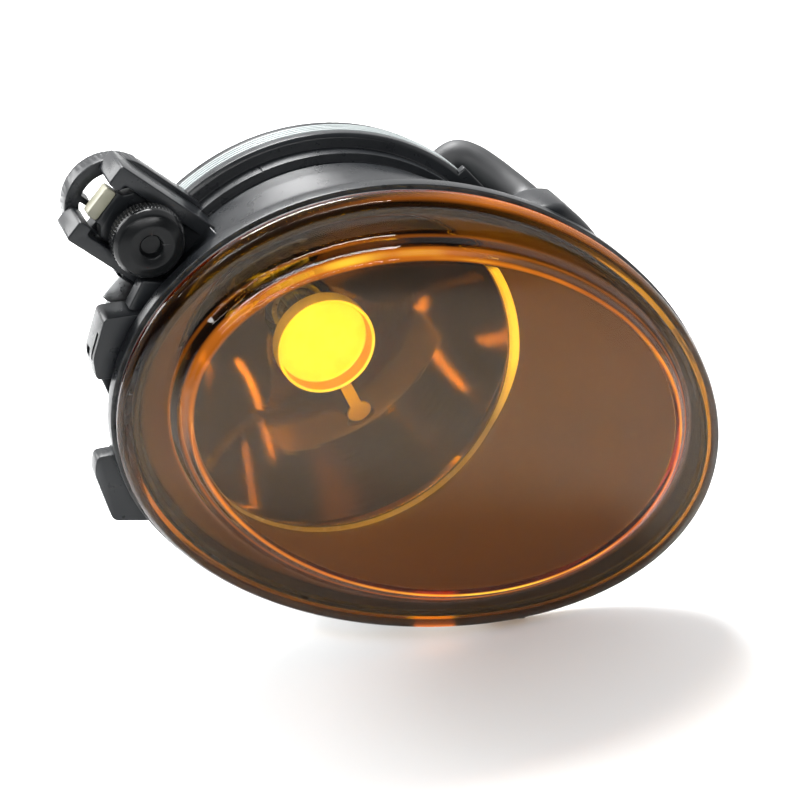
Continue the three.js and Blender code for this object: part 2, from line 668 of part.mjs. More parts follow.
function circlipGeometry() {
  const shape = new THREE.Shape();
  const open = 0.45;
  shape.absarc(0, 0, 4.8, open, 2 * Math.PI - open, false);
  shape.absarc(0, 0, 2.6, 2 * Math.PI - open, open, true);
  shape.closePath();
  return plateY(shape, LOOP_BACK + 0.8, LOOP_BACK + 1.7, 10);
}

function nutGeometry() {
  const outline = roundedPolygon([
    [-5.5, -7.1], [7, -7.1], [9, -4.6], [14, -4.6],
    [14, 4.6], [9, 4.6], [7, 7.1], [-5.5, 7.1],
  ], 0.8);
  const bore = new THREE.Path().absarc(0, 0, SPINDLE_RADIUS + GAP, 0, 2 * Math.PI, true);
  outline.holes.push(bore);
  return plateY(outline, NUT_FRONT, NUT_BACK, 6);
}

function buildAdjuster() {
  const bracket = new THREE.Group();
  bracket.rotation.y = -rad(BRACKET_ANGLE);
  lamp.add(bracket);
  addMesh(bracket, 'speed_nut', speedNutGeometry(), steel);
  const adjuster = new THREE.Group();
  adjuster.position.x = KNOB_CENTRE;
  bracket.add(adjuster);
  addMesh(adjuster, 'adjuster_knob', knobGeometry(), blackPlastic);
  addMesh(adjuster, 'adjuster_spindle', spindleGeometry(), steel);
  const washer = turn([[SPINDLE_RADIUS + GAP, 16.5], [6.4, 16.5], [6.4, 17.3], [SPINDLE_RADIUS + GAP, 17.3]], 24);
  addMesh(adjuster, 'adjuster_washer', washer, steel);
  addMesh(adjuster, 'adjuster_circlip', circlipGeometry(), steel);
  addMesh(adjuster, 'adjuster_nut', nutGeometry(), nylon);
}

// ---------------------------------------------------------------- bulb
function glassGeometry() {
  const r = BULB_RADIUS;
  const inner = r - 0.9;
  return turn([
    [0, BULB_TIP], [2.8, BULB_TIP + 0.5], [4.8, BULB_TIP + 2.2], [r, BULB_TIP + 5], [r, 57],
    [inner, 57], [inner, BULB_TIP + 5.2], [4.1, BULB_TIP + 3], [2.4, BULB_TIP + 1.4], [0, BULB_TIP + 1],
  ], 28);
}

function bulbBaseGeometry() {
  const body = turn([
    [0, BASE_FRONT], [BASE_RADIUS, BASE_FRONT], [BASE_RADIUS, 65.8], [15.5, 65.8], [15.5, 68.2],
    [11.5, 69], [11.5, 78], [10, 79.4], [0, 79.4],
  ], 32);
  const add = [block(-11, 11, 68.6, 79, -30, -4)];
  for (const angle of LOCK_ANGLES) add.push(block(10, 14.4, 59, 61.4, -2.6, 2.6).rotateY(-rad(angle)));
  add.push(block(-3, 3, 79, 81, -27, -20));
  const socket = block(-8.8, 8.8, 70.6, 77, -31, -16);
  return combine(body, add, [socket]);
}

function buildBulb() {
  addMesh(lamp, 'bulb_glass', glassGeometry(), glass);
  addMesh(lamp, 'bulb_filament', rod(0.9, 36.7, 41.1, 0, 0, 12), tungsten);
  addMesh(lamp, 'filament_lead_long', rod(0.5, 36.6, 58.2, 1.9, 0, 8), steel);
  addMesh(lamp, 'filament_lead_short', rod(0.5, 41.4, 58.2, -1.9, 0, 8), steel);
  const bore = BULB_RADIUS + GAP;
  const skirt = turn([[bore, 50], [7.4, 50], [7.4, 56.4], [8.6, 57.4], [8.6, 58.2], [bore, 58.2]], 28);
  addMesh(lamp, 'bulb_skirt', skirt, steel);
  addMesh(lamp, 'bulb_base', bulbBaseGeometry(), blackPlastic);
  const inner = BASE_RADIUS + GAP;
  const ring = turn([[inner, 63.8], [14.2, 63.8], [14.6, 64.6], [14.2, 65.5], [inner, 65.5]], 28);
  addMesh(lamp, 'bulb_seal_ring', ring, blackRubber);
  [-4, 4].forEach((x, i) => {
    addMesh(lamp, `bulb_terminal_${i + 1}`, block(x - 1.4, x + 1.4, 73.4, 74.2, -27, -16 - GAP), brass);
  });
}

buildOptics();
buildHousings();
buildAdjuster();
buildBulb();

const [mountX, mountZ] = polar(MOUNT_POINT, BRACKET_ANGLE);
lamp.position.set(-mountX, -PAD_BACK, -mountZ);

export default lamp;
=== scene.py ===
"""Oval automotive fog lamp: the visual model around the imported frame.

Shapes are written in lamp millimetres: the optical axis is the Y axis, the lens flange
lies in the plane y = 0, the front looks along -Y and +Z is up. finish_piece() turns
them into metres in the row frame.
"""
import math

import bmesh
import bpy
from mathutils import Matrix, Vector


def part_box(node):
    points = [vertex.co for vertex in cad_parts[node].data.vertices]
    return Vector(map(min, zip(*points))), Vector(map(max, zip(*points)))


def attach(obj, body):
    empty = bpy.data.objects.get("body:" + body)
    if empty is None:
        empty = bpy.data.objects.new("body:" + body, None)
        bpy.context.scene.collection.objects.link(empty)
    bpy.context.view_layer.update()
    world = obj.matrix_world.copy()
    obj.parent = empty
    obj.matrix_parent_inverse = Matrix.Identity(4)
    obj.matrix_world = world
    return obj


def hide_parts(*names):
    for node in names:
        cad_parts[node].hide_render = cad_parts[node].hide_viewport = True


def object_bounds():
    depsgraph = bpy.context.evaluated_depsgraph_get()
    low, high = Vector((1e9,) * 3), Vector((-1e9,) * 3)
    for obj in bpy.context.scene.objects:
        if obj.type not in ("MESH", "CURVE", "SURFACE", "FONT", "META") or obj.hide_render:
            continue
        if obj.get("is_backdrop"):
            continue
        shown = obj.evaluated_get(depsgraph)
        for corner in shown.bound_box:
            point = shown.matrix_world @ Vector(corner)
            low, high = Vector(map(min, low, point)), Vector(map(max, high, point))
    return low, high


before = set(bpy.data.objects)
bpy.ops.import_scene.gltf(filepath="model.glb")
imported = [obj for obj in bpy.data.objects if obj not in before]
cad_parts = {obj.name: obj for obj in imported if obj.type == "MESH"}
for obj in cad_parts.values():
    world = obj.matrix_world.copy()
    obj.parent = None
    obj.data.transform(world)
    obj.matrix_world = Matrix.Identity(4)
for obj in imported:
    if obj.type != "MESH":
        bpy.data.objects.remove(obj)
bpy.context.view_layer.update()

# ---- where the lamp is
MM = 0.001
FOCUS = 12  # the reflector is the paraboloid y = VERTEX - r * r / (4 * FOCUS)
REFLECTOR_VERTEX = 50.9
REFLECTOR_RIM = 44
REFLECTOR_FRONT = REFLECTOR_VERTEX - REFLECTOR_RIM ** 2 / (4 * FOCUS)
reflector_low, reflector_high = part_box("reflector")
AXIS_X = (reflector_low[0] + reflector_high[0]) / 2
AXIS_Z = (reflector_low[2] + reflector_high[2]) / 2
FLANGE_Y = reflector_low[1] - REFLECTOR_FRONT * MM
TO_ROW = Matrix.Translation((AXIS_X, FLANGE_Y, AXIS_Z)) @ Matrix.Scale(MM, 4)

# ---- driving dimensions, in mm and degrees; angles round the axis run from +X towards +Z
OVAL_STEPS = 192
ROUND_STEPS = 160
SMALL_STEPS = 48
MOST_OF_GAP = 0.45  # how much of an edge a rounded corner may take
SAME_POINT = 1e-4  # points closer than this are merged
NO_LENGTH = 1e-5
PARALLEL = 1e-9

LENS = {"x": 21.2, "z": -15.4, "major": 85, "minor": 60, "tilt": -23.4, "egg": 0.023, "egg_at": -14}
WINDOW = {"x": 22, "z": -14, "major": 68.2, "minor": 46.2, "tilt": -21.8, "egg": -0.007, "egg_at": -4}
LENS_THICKNESS = 2.4
WINDOW_FRONT = -5
WINDOW_BULGE = 5
DOME_SCALES = (0.0, 0.1, 0.2, 0.3, 0.4, 0.5, 0.6, 0.7, 0.8, 0.88, 0.94, 0.975, 0.99)
SKIRT_END = 4
FLANGE_DIP = 0.25
PAINTED_NOTCH_SPAN = (14, 26.6)  # from and to x: a patch of painted light in the skirt under the lens
# the amount of painted light in that patch
PAINTED_NOTCH_LIGHT = 0.45
# painted shade on the lens flange
FLANGE_PAINTED_SHADE = -0.3
LENS_ROUNDING = 0.42
# Steps of the lens: growth from the outline, y, then what tagged() takes (painted light, side, least,
# focus); below 0 it is painted shade.
RING_STEPS = ((0, -5, 1.0, -70, 0.55), (0.45, -4.85, 0.9, -70, 0.55), (1, -4.5, 1.0, 122, -0.8, 4),
              (1.8, -3.2, 1.0, 122, -0.3, 5), (2.5, -2.85, 0.6, -60, 0.45), (3.2, -2.6, -0.9),
              (4.5, -0.7, 0.4, 125, -0.5), (5.6, -0.3, -0.35))
# The skirt's steps in the same columns; below 0 is painted shade.
SKIRT_STEPS = ((-3, 0.2, -0.4), (-0.9, 0.9, 0.4, 75, -1, 3), (0, 2.4, 0.5, 62, -2, 4),
               (0, SKIRT_END, 0.5, 62, -2, 6))
INSIDE_STEPS = ((LENS, -LENS_THICKNESS, SKIRT_END), (LENS, -3.6, 2.6), (WINDOW, 4.8, 2.1),
                (WINDOW, 2, 0.4), (WINDOW, -1, WINDOW_FRONT + LENS_THICKNESS))

FLANGE_FRONT = 5.6
FLANGE_BACK = 9.4
FLANGE_LIP = 0.75
SKIN_STEPS = ((13, 0.22), (16.5, 0.52), (20, 0.8))  # y, and how round the outside has become
HOLLOW_STEPS = ((13, 0.24), (16, 0.52), (19.5, 0.82))  # the same for the inside
DRUM_START = 24
DRUM_RADIUS = 50.5
DRUM_BORE = 47.6
BAND_START = 26
BAND_RADIUS = 52.3
REAR_FLANGE_START = 30.2
REAR_FLANGE_END = 33
REAR_FLANGE_RADIUS = 55.8
SEAL_START = 33.3
SEAL_END = 37.5
REAR_START = 37.8
REAR_RADIUS = 55.4
NIPPLE_ANGLE = 42
NIPPLE_END = 53
NIPPLE_Y = 47.2
HOSE_RADIUS = 4.65
HOSE_SADDLE_ANGLE = 41
HOSE_SADDLE_RADIUS = 57.4
STEM_ANGLE = -66
SEAM_ANGLE = 107

BRACKET_ANGLE = 139
LOOP_CENTRE = 69.3
LOOP_RADIUS = 12.2
LOOP_BAND = 3.6
LOOP_FRONT = 28
LOOP_BACK = 33
ARM_ROOT = 46
WALL_FRONT = 17
WALL_OUTER = 11.1
WALL_INNER = 7.5
WALL_END = 78.6
HOOK_START = 75
HOOK_INNER = 5.5
NECK_FRONT = 11
NECK_BACK = 28.5
LUG_END = 59.7
LUG_FRONT = 20.6
LUG_BACK = 23.6
LUG_SIDE = 19.4
PAD_START = 70.6
PAD_BACK = 33.6
KNOB_CENTRE = 63.3
KNOB_RADIUS = 9.1
KNOB_FRONT = 9
KNOB_BACK = 16.2
SPINDLE_RADIUS = 3
SPINDLE_BORE = 3.3
NUT_FRONT = 20.5
NUT_BACK = 24.5
THREAD_PITCH = 1.5

EAR_RADIUS = 60.5
EAR_ANGLES = (15, -40, -95, -150)
EAR_FRONT = 28.5
EAR_END = 35.5
EAR_BOSS = 4.2
EAR_HOLE = 1.9
EAR_WEB = 4.15
RIB_ANGLES = (88, 148, -178, -122, -68, -12)
BEZEL_SCREWS = ((82, -40), (34, -66), (-20.6, -51))
BEZEL_BOSS_FRONT = 11.2
BEZEL_BOSS_END = 22
BEZEL_BOSS = 4
BEZEL_HOLE = 1.7
BEZEL_FRONT = 3.3
BEZEL_FLOOR = 8.5
BEZEL_BACK = 10.3

REAR_NECK_RADIUS = 20
REAR_NECK_BORE = 16.9
REAR_NECK_END = 65.3
BAYONET_ANGLES = (90, 210, 330)
BULB_TWIST = 35
BULB_TIP = 33.2
BULB_RADIUS = 5.6
SOCKET_FRONT = 58.5

# ---- camera and light
CAMERA_AZIMUTH = -20
CAMERA_ELEVATION = 28
CAMERA_DISTANCE = 601
CAMERA_AIM = (16.93, 0, -11.38)
CAMERA_LENS = 107.06
CAMERA_CLIP = (0.01, 20)
CAMERA_SHIFT = (-0.0275, 0.0225)
SURROUND_STRENGTH = 1.5  # the white studio round the lamp
FRONT_STRENGTH = 0.12  # the dark side of it, where the camera stands
DARK_STARTS = 0.1  # cosines of the angle from the camera's direction
DARK_FULL = 0.6
FLOOR_SIZE = 6.0
SOFTBOXES = {  # place from the object's middle, width, height, watts
    "top_softbox": ((-0.05, 0.5, 0.8), 0.5, 0.4, 23),
    "left_softbox": ((-0.66, 0.62, 0.45), 0.55, 0.6, 9.5),
    "front_strip": ((-0.03, -0.93, 0.36), 0.75, 0.05, 4),
    "upper_strip": ((-0.45, -0.5, 0.6), 0.9, 0.05, 3),
}
SPOT_PLACE = (-0.12, -1.1, 0.1)
SPOT_RADIUS = 0.0145
SPOT_POWER = 160


# ---- loops and lofts
def oval(outline, offset, y, scale=1.0):
    """An egg-shaped loop in the plane y, grown by offset and scaled about its centre."""
    tilt = math.radians(outline["tilt"])
    loop = []
    for i in range(OVAL_STEPS):
        t = i / OVAL_STEPS * math.tau
        egg = scale * (1 + outline["egg"] * math.cos(3 * (t - math.radians(outline["egg_at"]))))
        u = (outline["major"] + offset) * math.cos(t) * egg
        v = (outline["minor"] + offset) * math.sin(t) * egg
        x = outline["x"] + u * math.cos(tilt) - v * math.sin(tilt)
        z = outline["z"] + u * math.sin(tilt) + v * math.cos(tilt)
        loop.append(Vector((x, y, z)))
    return loop


def circle(radius, y, x=0.0, z=0.0, steps=ROUND_STEPS, start=0.0):
    """A circle round a line along Y."""
    angles = [start + i / steps * math.tau for i in range(steps)]
    return [Vector((x + radius * math.cos(a), y, z + radius * math.sin(a))) for a in angles]


def drum_circle(radius, y):
    """A circle whose points pair up with those of the lens outline."""
    return circle(radius, y, steps=OVAL_STEPS, start=math.radians(LENS["tilt"]))


def pole(x, y, z, count=OVAL_STEPS):
    """A loop shrunk to one point: it closes the end of a loft."""
    return [Vector((x, y, z))] * count


def mix(a, b, amount):
    return [p.lerp(q, amount) for p, q in zip(a, b)]


def bent(a, control, b, t):
    """A point on the quadratic curve from a to b."""
    return a * (1 - t) ** 2 + control * 2 * t * (1 - t) + b * t * t


def soften(loops, cut, closed, steps=3):
    """Rounds every step of a stack of loops: each loop becomes a short curve."""
    count = len(loops)
    result = []
    for k, loop in enumerate(loops):
        if not closed and k in (0, count - 1):
            result.append(loop)
            continue
        before, after = loops[k - 1], loops[(k + 1) % count]
        gap_before = sum((p - q).length for p, q in zip(loop, before)) / len(loop)
        gap_after = sum((p - q).length for p, q in zip(loop, after)) / len(loop)
        enter = mix(loop, before, min(MOST_OF_GAP, cut / max(gap_before, NO_LENGTH)))
        leave = mix(loop, after, min(MOST_OF_GAP, cut / max(gap_after, NO_LENGTH)))
        for i in range(steps + 1):
            result.append([bent(a, b, c, i / steps) for a, b, c in zip(enter, loop, leave)])
    return result


def loft(loops, closed):
    """A surface through a stack of loops: faces and vertices as a temporary object."""
    count = len(loops[0])
    vertices = [p for loop in loops for p in loop]
    faces = []
    for k in range(len(loops) if closed else len(loops) - 1):
        a, b = k * count, (k + 1) % len(loops) * count
        for i in range(count):
            j = (i + 1) % count
            faces.append((a + i, a + j, b + j, b + i))
    return solid(vertices, faces)


def solid(vertices, faces):
    """An object from points and faces, its doubled points merged and normals outward.

    A fourth number on the points becomes the mesh attribute of painted light and shade.
    """
    mesh = bpy.data.meshes.new("shape")
    mesh.from_pydata([tuple(v[:3]) for v in vertices], [], faces)
    if len(vertices[0]) == 4:
        painted_light_shade = mesh.attributes.new("painted_light_shade", "FLOAT", "POINT")
        painted_light_shade.data.foreach_set("value", [v[3] for v in vertices])
    work = bmesh.new()
    work.from_mesh(mesh)
    bmesh.ops.remove_doubles(work, verts=work.verts, dist=SAME_POINT)
    bmesh.ops.dissolve_degenerate(work, dist=NO_LENGTH, edges=work.edges)
    bmesh.ops.recalc_face_normals(work, faces=work.faces)
    work.to_mesh(mesh)
    work.free()
    obj = bpy.data.objects.new("shape", mesh)
    bpy.context.scene.collection.objects.link(obj)
    return obj


def turn(profile, x=0.0, z=0.0, steps=ROUND_STEPS, cut=0.3):
    """A profile of (radius, y) points turned about a line along Y."""
    closed = profile[0][0] > 0
    loops = [circle(r, y, x, z, steps) for r, y in profile]
    return loft(soften(loops, cut, closed) if cut else loops, closed)


def rod(radius, y0, y1, x=0.0, z=0.0, steps=SMALL_STEPS, cut=0.25):
    return turn([(0, y0), (radius, y0), (radius, y1), (0, y1)], x, z, steps, cut)


def rounded(corners, radius, steps=5):
    """A closed 2-D outline whose corners are rounded by curves that start radius away."""
    points = []
    for i, corner in enumerate(corners):
        here = Vector(corner)
        before, after = Vector(corners[i - 1]), Vector(corners[(i + 1) % len(corners)])
        enter = here + (before - here).normalized() * min(radius, (before - here).length * MOST_OF_GAP)
        leave = here + (after - here).normalized() * min(radius, (after - here).length * MOST_OF_GAP)
        points += [bent(enter, here, leave, k / steps) for k in range(steps + 1)]
    return points


def arc(radius, start, end, x=0.0, y=0.0, steps=24):
    """Points on an arc in 2-D, angles in degrees."""
    angles = [math.radians(start + (end - start) * i / steps) for i in range(steps + 1)]
    return [(x + radius * math.cos(a), y + radius * math.sin(a)) for a in angles]


def curve_points(a, control, b, steps=12):
    """A quadratic curve in 2-D from a to b, without its first point."""
    a, control, b = Vector(a), Vector(control), Vector(b)
    return [bent(a, control, b, i / steps) for i in range(1, steps + 1)]


def prism(outline, low, high, along):
    """A 2-D outline extruded along 'y' (drawn in X, Z) or along 'z' (drawn in X, Y)."""
    def place(p, h):
        return Vector((p[0], h, p[1])) if along == "y" else Vector((p[0], p[1], h))
    count = len(outline)
    vertices = [place(p, low) for p in outline] + [place(p, high) for p in outline]
    faces = [tuple(range(count)), tuple(range(count, 2 * count))]
    faces += [(i, (i + 1) % count, count + (i + 1) % count, count + i) for i in range(count)]
    return solid(vertices, faces)


def block(x0, x1, y0, y1, z0, z1):
    return prism([(x0, z0), (x1, z0), (x1, z1), (x0, z1)], y0, y1, "y")


def polar(radius, angle):
    return radius * math.cos(math.radians(angle)), radius * math.sin(math.radians(angle))


# ---- working on solids
def freeze(obj):
    """Turns an object's modifiers into plain mesh."""
    graph = bpy.context.evaluated_depsgraph_get()
    graph.update()
    mesh = bpy.data.meshes.new_from_object(obj.evaluated_get(graph))
    old = obj.data
    obj.modifiers.clear()
    obj.data = mesh
    bpy.data.meshes.remove(old)
    return obj


def bevel(obj, width, segments=3, angle=30):
    modifier = obj.modifiers.new("bevel", "BEVEL")
    modifier.width = width
    modifier.segments = segments
    modifier.limit_method = "ANGLE"
    modifier.angle_limit = math.radians(angle)
    modifier.use_clamp_overlap = True
    return freeze(obj)


def turned(obj, angle):
    """Turned about the optical axis by an angle from +X towards +Z."""
    obj.data.transform(Matrix.Rotation(-math.radians(angle), 4, "Y"))
    return obj


def combine(obj, others, operation):
    """Joins or cuts, one tool at a time."""
    for other in others:
        modifier = obj.modifiers.new("boolean", "BOOLEAN")
        modifier.operation = operation
        modifier.solver = "EXACT"
        modifier.object = other
        freeze(obj)
        discard(other)
    return obj


def discard(obj):
    mesh = obj.data
    bpy.data.objects.remove(obj)
    bpy.data.meshes.remove(mesh)


def finish_piece(obj, name, node, material, body="housing", sharp=32):
    """Names a solid, brings it into the row frame and hands it to the frame."""
    obj.name = name
    obj.data.name = name
    obj.data.transform(TO_ROW)
    obj.data.shade_smooth()
    obj.data.set_sharp_from_angle(angle=math.radians(sharp))
    obj.data.materials.clear()
    obj.data.materials.append(material)
    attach(obj, body)
    if node:
        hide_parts(node)
    return obj


# ---- materials
WORN_POINTINESS = (0.53, 0.62)  # where an edge starts to look worn, and where it is bare
STREAK_SCALE = 28
STREAK_RANGE = (0.35, 1.25)
WARM_RANGE = (0.45, 0.95)  # the amount of painted edge light at which it turns from its low to its high colour
SMEAR_SCALE = 45
SMEAR_RANGE = (0.5, 0.75)
WAVE_SCALE = 70
WAVE_STRENGTH = 0.12
WAVE_DEPTH = 0.00015


def fill(tree, node, sockets):
    """Gives each named socket a number, a colour or another node's output."""
    for name, value in sockets.items():
        socket = node.inputs[name]
        if isinstance(value, bpy.types.NodeSocket):
            tree.links.new(value, socket)
        else:
            socket.default_value = (*value, 1) if socket.type == "RGBA" else value


def output_of(tree, kind, output, sockets, **settings):
    """Adds a node with its settings and sockets and gives the output asked for."""
    node = tree.nodes.new("ShaderNode" + kind)
    for name, value in settings.items():
        setattr(node, name, value)
    fill(tree, node, sockets)
    return node.outputs[output]


def new_material(name):
    material = bpy.data.materials.new(name)
    material.use_nodes = True
    tree = material.node_tree
    tree.nodes.clear()
    shader = tree.nodes.new("ShaderNodeBsdfPrincipled")
    output = tree.nodes.new("ShaderNodeOutputMaterial")
    fill(tree, output, {"Surface": shader.outputs[0]})
    return material, tree, shader, output


def noise(tree, scale, detail=3.0, stretch=None):
    """Noise over the piece's own place in space, in features of about 1 / scale metres."""
    place = output_of(tree, "TexCoord", "Object", {})
    if stretch:
        place = output_of(tree, "Mapping", "Vector", {"Scale": stretch, "Vector": place})
    return output_of(tree, "TexNoise", "Fac", {"Scale": scale, "Detail": detail, "Vector": place})


def spread(tree, source, low, high, from_low=0.3, from_high=0.7):
    """Maps a texture to a range of values."""
    return output_of(tree, "MapRange", "Result", {
        "From Min": from_low, "From Max": from_high, "To Min": low, "To Max": high, "Value": source})


def blend(tree, share, first, second):
    """Mixes two colours, each three numbers or another node's output."""
    return output_of(tree, "Mix", "Result", {"A": first, "B": second, "Factor": share}, data_type="RGBA")


def product(tree, first, second, clamp=False):
    return output_of(tree, "Math", 0, {0: first, 1: second}, operation="MULTIPLY", use_clamp=clamp)


def painted_light_shade_of(tree):
    """The mesh attribute of painted light and shade at the place being shaded."""
    return output_of(tree, "Attribute", "Fac", {}, attribute_name="painted_light_shade")


def relief(tree, height, strength, depth):
    """A normal bent by a height, for fine grain and waves."""
    return output_of(tree, "Bump", "Normal", {"Strength": strength, "Distance": depth, "Height": height})


def surface(name, dark, light, rough, metal=0.0, blotch=60, grain=1500, bump=0.1,
            grain_depth=0.00004, stretch=None, edge=None, painted_light_shade=None, painted_emission=None, specular=0.5):
    """A solid finish: blotchy colour and gloss, a fine grain and, if asked, worn edges.

    Where the mesh attribute of painted light and shade says 1, the colour given for it is painted in:
    painted shade on the bezel, reflector and shield, a painted highlight on the lip. The two colours and
    strength given last are painted light, emitted there.
    """
    material, tree, shader, _ = new_material(name)
    colour = blend(tree, spread(tree, noise(tree, blotch), 0, 1), dark, light)
    if edge:
        pointiness = output_of(tree, "NewGeometry", "Pointiness", {})
        colour = blend(tree, spread(tree, pointiness, 0, 1, *WORN_POINTINESS), colour, edge)
    # painted light and shade: the given colour where the attribute is 1
    if painted_light_shade:
        colour = blend(tree, painted_light_shade_of(tree), colour, painted_light_shade)
    fill(tree, shader, {
        "Base Color": colour,
        "Roughness": spread(tree, noise(tree, blotch * 4, 5, stretch), *rough),
        "Metallic": metal,
        "Specular IOR Level": specular,
        "Normal": relief(tree, noise(tree, grain, 4, stretch), bump, grain_depth)})
    # painted light, emitted where the attribute is above 0
    if painted_emission:
        painted_edge_light(tree, shader, *painted_emission)
    return material


def painted_edge_light(tree, shader, low, high, strength):
    """Painted light: an emission along the thick edges, as far as the mesh attribute of painted light and
    shade says, in streaks.
    """
    streaks = spread(tree, noise(tree, STREAK_SCALE, 3), *STREAK_RANGE)
    amount = product(tree, painted_light_shade_of(tree), streaks, clamp=True)
    warmth = spread(tree, amount, 0, 1, *WARM_RANGE)
    fill(tree, shader, {"Emission Color": blend(tree, warmth, low, high),
                        "Emission Strength": product(tree, amount, strength)})


def clear_plastic(name, colour, lamp_colour, ior, haze, edges=None, dye=None, painted_shade_colour=None):
    """Glass-like plastic that lamps shine through, with faint waves and wiping marks.

    A dye is a colour and a density per metre: thick places come out darker and redder.
    The edges are two colours and a strength of painted light, emitted along the thick edges. The last
    colour is painted shade, put where the mesh attribute of painted light and shade is -1.
    """
    material, tree, shader, output = new_material(name)
    smears = spread(tree, noise(tree, SMEAR_SCALE, 6), 0.0, haze, *SMEAR_RANGE)
    waves = relief(tree, noise(tree, WAVE_SCALE, 1), WAVE_STRENGTH, WAVE_DEPTH)
    fill(tree, shader, {"Base Color": colour, "Transmission Weight": 1.0, "IOR": ior,
                        "Roughness": smears, "Normal": waves})
    # painted shade: the lens darkens where the attribute is below 0
    if painted_shade_colour:
        depth = spread(tree, painted_light_shade_of(tree), 1, 0, -1, 0)
        fill(tree, shader, {"Base Color": blend(tree, depth, colour, painted_shade_colour)})
    # painted light emitted along the thick edges
    if edges:
        painted_edge_light(tree, shader, *edges)
    if dye:
        dye_colour, density = dye
        body = output_of(tree, "VolumeAbsorption", 0, {"Color": dye_colour, "Density": density})
        fill(tree, output, {"Volume": body})
    shadow = output_of(tree, "LightPath", "Is Shadow Ray", {})
    lamp_light = output_of(tree, "BsdfTransparent", 0, {"Color": lamp_colour})
    choice = output_of(tree, "MixShader", 0, {0: shadow, 1: shader.outputs[0], 2: lamp_light})
    fill(tree, output, {"Surface": choice})
    return material


BLACK = surface("black_plastic", (0.007, 0.008, 0.0095), (0.013, 0.0145, 0.0165), (0.26, 0.33),
                edge=(0.03, 0.032, 0.034), bump=0.06, specular=0.28)
KNOB = surface("knob_plastic", (0.005, 0.0055, 0.006), (0.009, 0.0095, 0.010), (0.15, 0.25),
               edge=(0.06, 0.06, 0.06), specular=0.12)
SOCKET = surface("bulb_plastic", (0.009, 0.009, 0.010), (0.016, 0.016, 0.017), (0.4, 0.55),
                 edge=(0.04, 0.04, 0.04))
RUBBER = surface("black_rubber", (0.012, 0.013, 0.014), (0.022, 0.023, 0.025), (0.45, 0.6), grain=2200)
SEAL = surface("pale_seal", (0.24, 0.27, 0.27), (0.34, 0.37, 0.37), (0.35, 0.55), grain=1800)
# its last colour is painted shade on the tray's walls
BEZEL = surface("bezel_metal", (0.062, 0.032, 0.015), (0.086, 0.046, 0.021), (0.3, 0.4), blotch=22,
                grain=800, bump=0.004, painted_light_shade=(0.012, 0.010, 0.010), specular=0.25)
# its dim brown metal colour stands in for the darker room it would reflect, painted shade; its last
# colour is painted shade in the neck and on the back
MIRROR = surface("reflector_metal", (0.20, 0.14, 0.07), (0.30, 0.21, 0.10), (0.05, 0.11), metal=1.0,
                 blotch=26, grain=70, bump=0.2, grain_depth=0.0003, stretch=(1, 1, 0.18),
                 painted_light_shade=(0.04, 0.03, 0.02))
# lip: a painted highlight colour and emitted painted light where the lip is wide
PAINTED_HIGHLIGHT_LIP = surface("lip_metal_painted_highlight", (0.05, 0.035, 0.025), (0.08, 0.055, 0.04), (0.18, 0.3), blotch=120,
                 grain=400, painted_light_shade=(0.86, 0.84, 0.78), painted_emission=((1.0, 0.8, 0.5), (1.0, 0.8, 0.5), 0.8),
                 specular=0.3)
# its last colour is painted shade on the cup's inner wall and back
SHIELD = surface("shield_metal", (0.78, 0.84, 0.6), (0.96, 0.97, 0.8), (0.28, 0.4), metal=0.25,
                 blotch=150, grain=500, painted_light_shade=(0.55, 0.3, 0.1))
# its colour is raised to stand in for a painted reflection of the bright shield
REFLECTION_PAINTED_METAL = surface("zinc_steel_painted_reflection", (0.28, 0.21, 0.09), (0.5, 0.38, 0.15), (0.3, 0.45), metal=0.6,
                 blotch=120, grain=700)
STEEL = surface("zinc_steel", (0.28, 0.29, 0.30), (0.42, 0.43, 0.44), (0.25, 0.42), metal=1.0,
                blotch=250, grain=1800, edge=(0.6, 0.6, 0.6))
NYLON = surface("natural_nylon", (0.15, 0.15, 0.11), (0.30, 0.29, 0.22), (0.3, 0.45), grain=1200)
TUNGSTEN = surface("tungsten", (0.2, 0.19, 0.18), (0.3, 0.29, 0.28), (0.4, 0.55), metal=1.0)
BRASS = surface("terminal_brass", (0.5, 0.37, 0.16), (0.66, 0.5, 0.24), (0.25, 0.4), metal=1.0)
# edges: emitted painted light along the thick edges; last colour: painted shade on flange and skirt
AMBER = clear_plastic("amber_lens", (0.97, 0.95, 0.86), (0.99, 0.98, 0.95), 1.36, 0.04,
                      edges=((0.9, 0.24, 0.02), (1.0, 0.75, 0.05), 1.3),
                      dye=((0.935, 0.79, 0.0), 900), painted_shade_colour=(0.10, 0.04, 0.03))
GLASS = clear_plastic("bulb_glass", (0.96, 0.98, 0.98), (0.99, 0.99, 0.99), 1.46, 0.03)
FLOOR = surface("floor", (0.86, 0.87, 0.87), (0.9, 0.9, 0.9), (0.8, 0.9), blotch=4, specular=0.1)


# ---- lens
def tagged(loop, painted_light_shade, side=None, least=0.0, focus=1.5):
    """Adds an amount of painted light and shade to a loop's points, strongest on one side seen from the
    lens's middle.
    """
    result = []
    for p in loop:
        share = 1.0
        if side is not None:
            angle = math.atan2(p.z - LENS["z"], p.x - LENS["x"])
            share = least + (1 - least) * (0.5 + 0.5 * math.cos(angle - math.radians(side))) ** focus
        result.append(Vector((p.x, p.y, p.z, painted_light_shade * share)))
    return result


